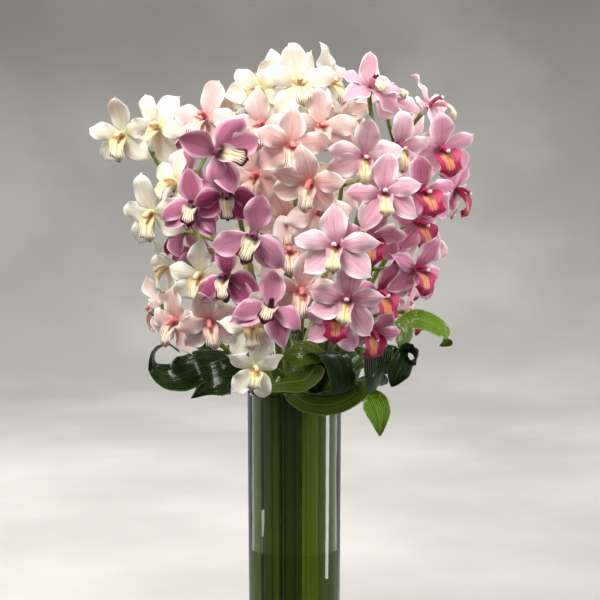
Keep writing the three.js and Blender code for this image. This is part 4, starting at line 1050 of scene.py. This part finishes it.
for number, (name, spray) in enumerate(SPRAYS.items()):
    tint = name.split("_")[0]
    draw = np.random.default_rng(number + 11)
    radius, azimuth = spray["slot"]
    knots = [
        around(azimuth + STEM_TWIST, radius, STEM_FOOT),
        around(azimuth + STEM_TWIST / 2, radius, STEM_WAIST),
        around(azimuth, radius, STEM_MOUTH),
        *spray["stem"],
    ]
    shape = Shape()
    shape.add(stem(knots), part=STALK_PART)
    stem_top = curve(knots, np.append(np.arange(PEDICELS_FROM, 1, 0.02), 1))[0]
    for bloom in blooms[name]:
        tone = draw.uniform(-1, 1)
        bloom.nod(draw)
        organs = [(*tepal(organ, bloom.lean, HABITS[tint], draw), TEPAL_PART) for organ in ORGANS]
        organs.append((*lip(LIP_WIDTHS[tint], LIP_CUPS[tint], draw), LIP_PART))
        organs.append((*column(), COLUMN_PART))
        spots = np.concatenate([bloom.put(points).reshape(-1, 3) for points, *_ in organs])
        bloom.place += np.maximum(box_low - spots.min(0), 0)
        bloom.place -= np.maximum(spots.max(0) - box_high, 0)
        for points, across, along, back, part in organs:
            marks = np.stack(np.broadcast_arrays(tone, back, 0 * points[..., 0]), -1)
            shape.add(bloom.put(points), across, along, marks, part)
        shape.add(pedicel(stem_top, bloom), part=STALK_PART)
    spray_piece = shape.build("spray_" + name, *finishes[tint])
    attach(spray_piece, "root")
    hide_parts("spray_" + name)
    tint + "_petals"

# The leaves: long ribbed blades. Each tail stands inside the glass, turns over the rim, and its
# upper part is rolled into a loop, folded, or left as a free point. A leaf holds the azimuth and
# the lowest height of its tail, the places of its upper part, the ways across it, and half widths.

LEAVES = {
    "front_fold": {
        "tail": (-31, 64),
        "path": [
            (-25, -60, 413), (-8, -72, 419), (12, -80, 424), (22, -79, 440), (8, -76, 449),
            (-14, -69, 446),
        ],
        "across": [(0.5, 0.5, 0.7), (0, 0.4, 0.92), (0, 0.6, 0.8)],
        "half": (9.5, 13, 16, 14),
    },
    "front_strap": {
        "tail": (-4, 72),
        "path": [
            (12, -60, 397), (34, -66, 395), (56, -70, 403), (76, -66, 420), (80, -58, 442),
            (62, -52, 454),
        ],
        "across": [
            (0.2, 0.3, 0.93), (0, 0.3, 0.95), (0, 0.6, 0.8), (0.2, 0.95, 0.1), (0, 0.5, 0.87),
        ],
        "half": (9.5, 11, 12, 12),
    },
    "front_roll": {
        "tail": (22, 58),
        "path": [
            (31, -66, 404), (47, -88, 412), (48, -92, 433), (38, -80, 450), (23, -66, 444),
            (20, -62, 422), (24, -58, 406),
        ],
        "across": [(0.85, 0.5, 0), (0.95, 0.3, 0), (0.9, 0.3, 0)],
        "half": (9, 15, 17, 14),
    },
    "hanging": {
        "tail": (45, 90),
        "path": [(58, -48, 408), (76, -58, 404), (85, -62, 390), (88, -63, 362)],
        "across": [(0.5, 0.8, 0), (0.9, 0.3, 0.2), (1, 0.2, 0)],
        "half": (7.5, 11, 14.5, 11),
    },
    "right_fan": {
        "tail": (65, 66),
        "path": [
            (72, -36, 418), (98, -42, 428), (118, -48, 431), (126, -55, 443), (116, -63, 449),
            (107, -69, 433), (99, -68, 414),
        ],
        "across": [
            (0.2, 0.9, 0.2), (0, 0.9, 0.4), (0.3, 0.9, 0.1), (0.8, 0.5, -0.3),
            (0.88, 0.1, -0.46),
        ],
        "half": (7, 12, 11, 14, 13),
    },
    "right_roll": {
        "tail": (85, 84),
        "path": [
            (72, -30, 414), (86, -62, 414), (82, -88, 426), (84, -90, 446), (88, -70, 458),
            (94, -50, 446), (92, -54, 428),
        ],
        "across": [(0.3, 0.9, 0), (0.95, -0.3, 0), (0.95, -0.3, 0)],
        "half": (7, 13, 15, 14),
    },
    "right_crescent": {
        "tail": (105, 60),
        "path": [
            (78, -4, 430), (103, -28, 442), (115, -50, 457), (109, -60, 474), (95, -58, 477),
            (88, -52, 467),
        ],
        "across": [(0.2, 0.9, 0.2), (0.75, 0.65, 0), (0.6, 0.75, 0.2)],
        "half": (7, 13, 15, 13),
    },
    "right_curl": {
        "tail": (126, 256),
        "path": [
            (72, 6, 438), (104, -18, 470), (128, -26, 479), (150, -28, 470), (160, -28, 459),
            (151, -27, 451),
        ],
        "across": [(0.3, 0.9, 0), (-0.2, 0.55, 0.8), (-0.3, 0.5, 0.8), (0.3, 0.8, 0.5)],
        "half": (7.5, 11, 12, 8),
    },
    "left_point": {
        "tail": (-62, 70),
        "path": [(-62, -42, 422), (-82, -48, 419), (-107, -47, 399)],
        "across": [(0.1, 0.5, 0.8), (0, 0.4, 0.9)],
        "half": (10, 20, 20, 9),
    },
    "left_ring": {
        "tail": (-92, 62),
        "path": [
            (-72, -24, 428), (-94, -38, 432), (-114, -42, 425), (-131, -42, 423),
            (-145, -41, 433), (-144, -40, 447), (-131, -40, 454), (-118, -41, 446),
        ],
        "across": [
            (0.1, 0.7, 0.7), (0, 0.35, 0.94), (0, 0.75, 0.6), (0.3, 0.9, 0), (0, 0.93, -0.35),
        ],
        "half": (10, 20, 19, 12, 12, 10),
    },
    "left_tip": {
        "tail": (-122, 262),
        "path": [(-82, 12, 436), (-118, -8, 464), (-154, -26, 488)],
        "across": [(0, 0.8, 0.6), (0.3, 0.9, 0)],
        "half": (9.5, 9, 9, 5),
    },
    "back_right": {
        "tail": (149, 246),
        "path": [
            (38, 62, 426), (54, 86, 444), (66, 104, 448), (68, 106, 428), (56, 90, 408),
            (46, 72, 404),
        ],
        "across": [(0.85, 0.5, 0)],
        "half": (8.5, 19, 22, 17),
    },
    "back": {
        "tail": (176, 240),
        "path": [
            (-2, 68, 428), (0, 94, 448), (2, 112, 446), (2, 108, 422), (0, 86, 404),
            (0, 74, 410),
        ],
        "across": [(1, 0, 0)],
        "half": (9, 20, 23, 17),
    },
    "back_left": {
        "tail": (-153, 252),
        "path": [
            (-34, 62, 426), (-52, 86, 444), (-66, 102, 448), (-66, 104, 428), (-56, 84, 408),
            (-46, 68, 404),
        ],
        "across": [(0.8, 0.6, 0)],
        "half": (9.5, 19, 22, 17),
    },
}

LEAF_THICKNESS = 0.9
LEAF_FOLD = 1.2
TAIL_TOP = 388
RIM_TURN = [(44.8, 399.5), (48.6, 403.6)]
TAIL_GAP = 1.2
LEAF_LOOKS = {
    "dark": {"body": "12240a", "edge": "64842a", "rib": "2e4c12", "under": "1c340c"},
    "bright": {"body": "78ac18", "edge": "c0da58", "rib": "98c638", "under": "88b42a"},
    "young": {"body": "567818", "edge": "c4d274", "rib": "88a234", "under": "769428"},
}
LOOK_OF = {"front_fold": "young", "front_strap": "young", "right_crescent": "young"}
LOOK_OF |= {"hanging": "bright", "right_curl": "bright"}
LEAF_VALUES = {"IOR": 1.5, "Specular IOR Level": 0.12, "Coat Roughness": 0.18}
TAIL_SHADES = [colour("16240a"), colour("74862a")]
TAIL_TONE = {"left_point": 0.55, "front_fold": 0.3, "front_strap": 0.15, "front_roll": 0.7}
EVEN_TONE = 0.5
LEAF_ROWS = 96
LEAF_SIDES = 40
TAIL_SPANS = 3
TAIL_SHARE = 0.2
TIP_SPANS = 0.8
RIBS = 11
RIB_DEPTH = 0.34
LEAF_RELIEF = 0.0014


def blend(knots, share):
    """Goes through the knots at even steps of a share that is held between 0 and 1."""
    knots = np.array(knots, float)
    place = np.clip(share, 0, 1) * (len(knots) - 1)
    first = np.minimum(place.astype(int), max(len(knots) - 2, 0))
    second = np.minimum(first + 1, len(knots) - 1)
    part = (place - first).reshape(-1, *[1] * (knots.ndim - 1))
    return knots[first] * (1 - part) + knots[second] * part


def tail_radius(height):
    """How far out a leaf's tail may stand: just inside the glass."""
    return inner_radius(height) - TAIL_GAP


def blade(leaf):
    """A leaf: at the share across u its skin lies w u beside the middle line, and off it by
    fold u^2 + rib cos(pi n u) (1 - u^2), and by half its thickness times sqrt(1 - u^2) to either
    side, all of it less where w is under 4. Its first three spans are its tail, which a fifth of
    the rows take, and it closes over the last 0.8 of a span."""
    azimuth, bottom = leaf["tail"]
    tail = [(tail_radius(bottom), bottom), (tail_radius(TAIL_TOP), TAIL_TOP), *RIM_TURN]
    knots = [around(azimuth, radius, height) for radius, height in tail] + leaf["path"]
    spans = len(knots) - 1
    share = np.linspace(0, 0.999, LEAF_ROWS)
    tail_end = TAIL_SPANS / spans
    above = tail_end + (share - TAIL_SHARE) / (1 - TAIL_SHARE) * (1 - tail_end)
    share = np.where(share < TAIL_SHARE, share * tail_end / TAIL_SHARE, above)
    centres, tangents = curve(knots, share)
    upper = (share * spans - TAIL_SPANS) / (spans - TAIL_SPANS)
    level = (cos(radians(azimuth)), sin(radians(azimuth)), 0)
    side = blend(unit(np.array([level, *leaf["across"]], float)), upper)
    side = unit(side - (side * tangents).sum(1, keepdims=True) * tangents)
    normal = np.cross(tangents, side)
    u, face = oval(LEAF_SIDES)
    half = blend(leaf["half"], upper)
    half = half * np.clip((1 - share) * spans / TIP_SPANS, 0, 1) ** 0.75
    lift = LEAF_FOLD * u**2 + LEAF_THICKNESS / 2 * face
    lift = lift + RIB_DEPTH * np.cos(pi * RIBS * u) * (1 - u**2)
    lift = lift * np.clip(half / 4, 0.1, 1)[:, None]
    points = centres[:, None] + side[:, None] * (half[:, None] * u)[..., None]
    points = points + normal[:, None] * lift[..., None]
    return points, (u + 1) / 2, upper[:, None], face < BACK_BELOW


def leaf_finish(look):
    """Fine ribs and long streaks, a pale edge and midrib, and a paler back. The tail within the
    glass goes to a duller green of its own tone."""
    shades = {part: colour(code) for part, code in LEAF_LOOKS[look].items()}
    finish = Finish("leaf_" + look, LEAF_VALUES)
    u, v, tone, back, tail_tone = surface_paints(finish)
    edge = abs(u)
    lines = streaks(finish, 22, 0.9, tone * 9, u, v)
    clouds = finish.noise(finish.place(), 22, 3)
    ribs = finish.sine(u * 44 + lines) * 0.5 + 0.5
    skin = finish.mix(finish.rise(lines, 0.38, 0.66), shades["body"], shades["rib"])
    skin = finish.mix(finish.rise(ribs, 0.2, 0, 0.4), skin, shades["under"])
    skin = finish.mix(finish.rise(edge + clouds * 0.1, 0.9, 1.02, 0.8), skin, shades["edge"])
    skin = finish.mix(finish.rise(edge, 0.07, 0.02, 0.6), skin, shades["edge"])
    skin = finish.mix(back * 0.5 + clouds * 0.2, skin, shades["under"])
    broad = streaks(finish, 4, 0.3, tone * 5 + 2, u, v)
    tail = finish.mix(finish.rise(tail_tone + broad * 1.3 + lines * 0.8, 0.85, 2.1), *TAIL_SHADES)
    within = finish.rise(v, 0, -0.12)
    skin = finish.mix(within, skin, tail)
    finish.paint(
        base_color=skin,
        roughness=0.32 + clouds * 0.16 + within * 0.4,
        coat_weight=finish.rise(v, -0.1, 0, 0.4),
        normal=finish.bump(lines * 0.3 + ribs, LEAF_RELIEF),
    )
    return finish


leaf_finishes = {look: leaf_finish(look) for look in LEAF_LOOKS}
for number, (name, leaf) in enumerate(LEAVES.items()):
    draw = np.random.default_rng(number + 51)
    points, across, along, back = blade(leaf)
    tail_tone = TAIL_TONE.get(name, EVEN_TONE) + 0 * points[..., 0]
    marks = np.stack(np.broadcast_arrays(draw.uniform(-1, 1), back, tail_tone), -1)
    shape = Shape()
    shape.add(points, across, along, marks)
    leaf_piece = shape.build("leaf_" + name, leaf_finishes[LOOK_OF.get(name, "dark")])
    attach(leaf_piece, "root")
    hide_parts("leaf_" + name)
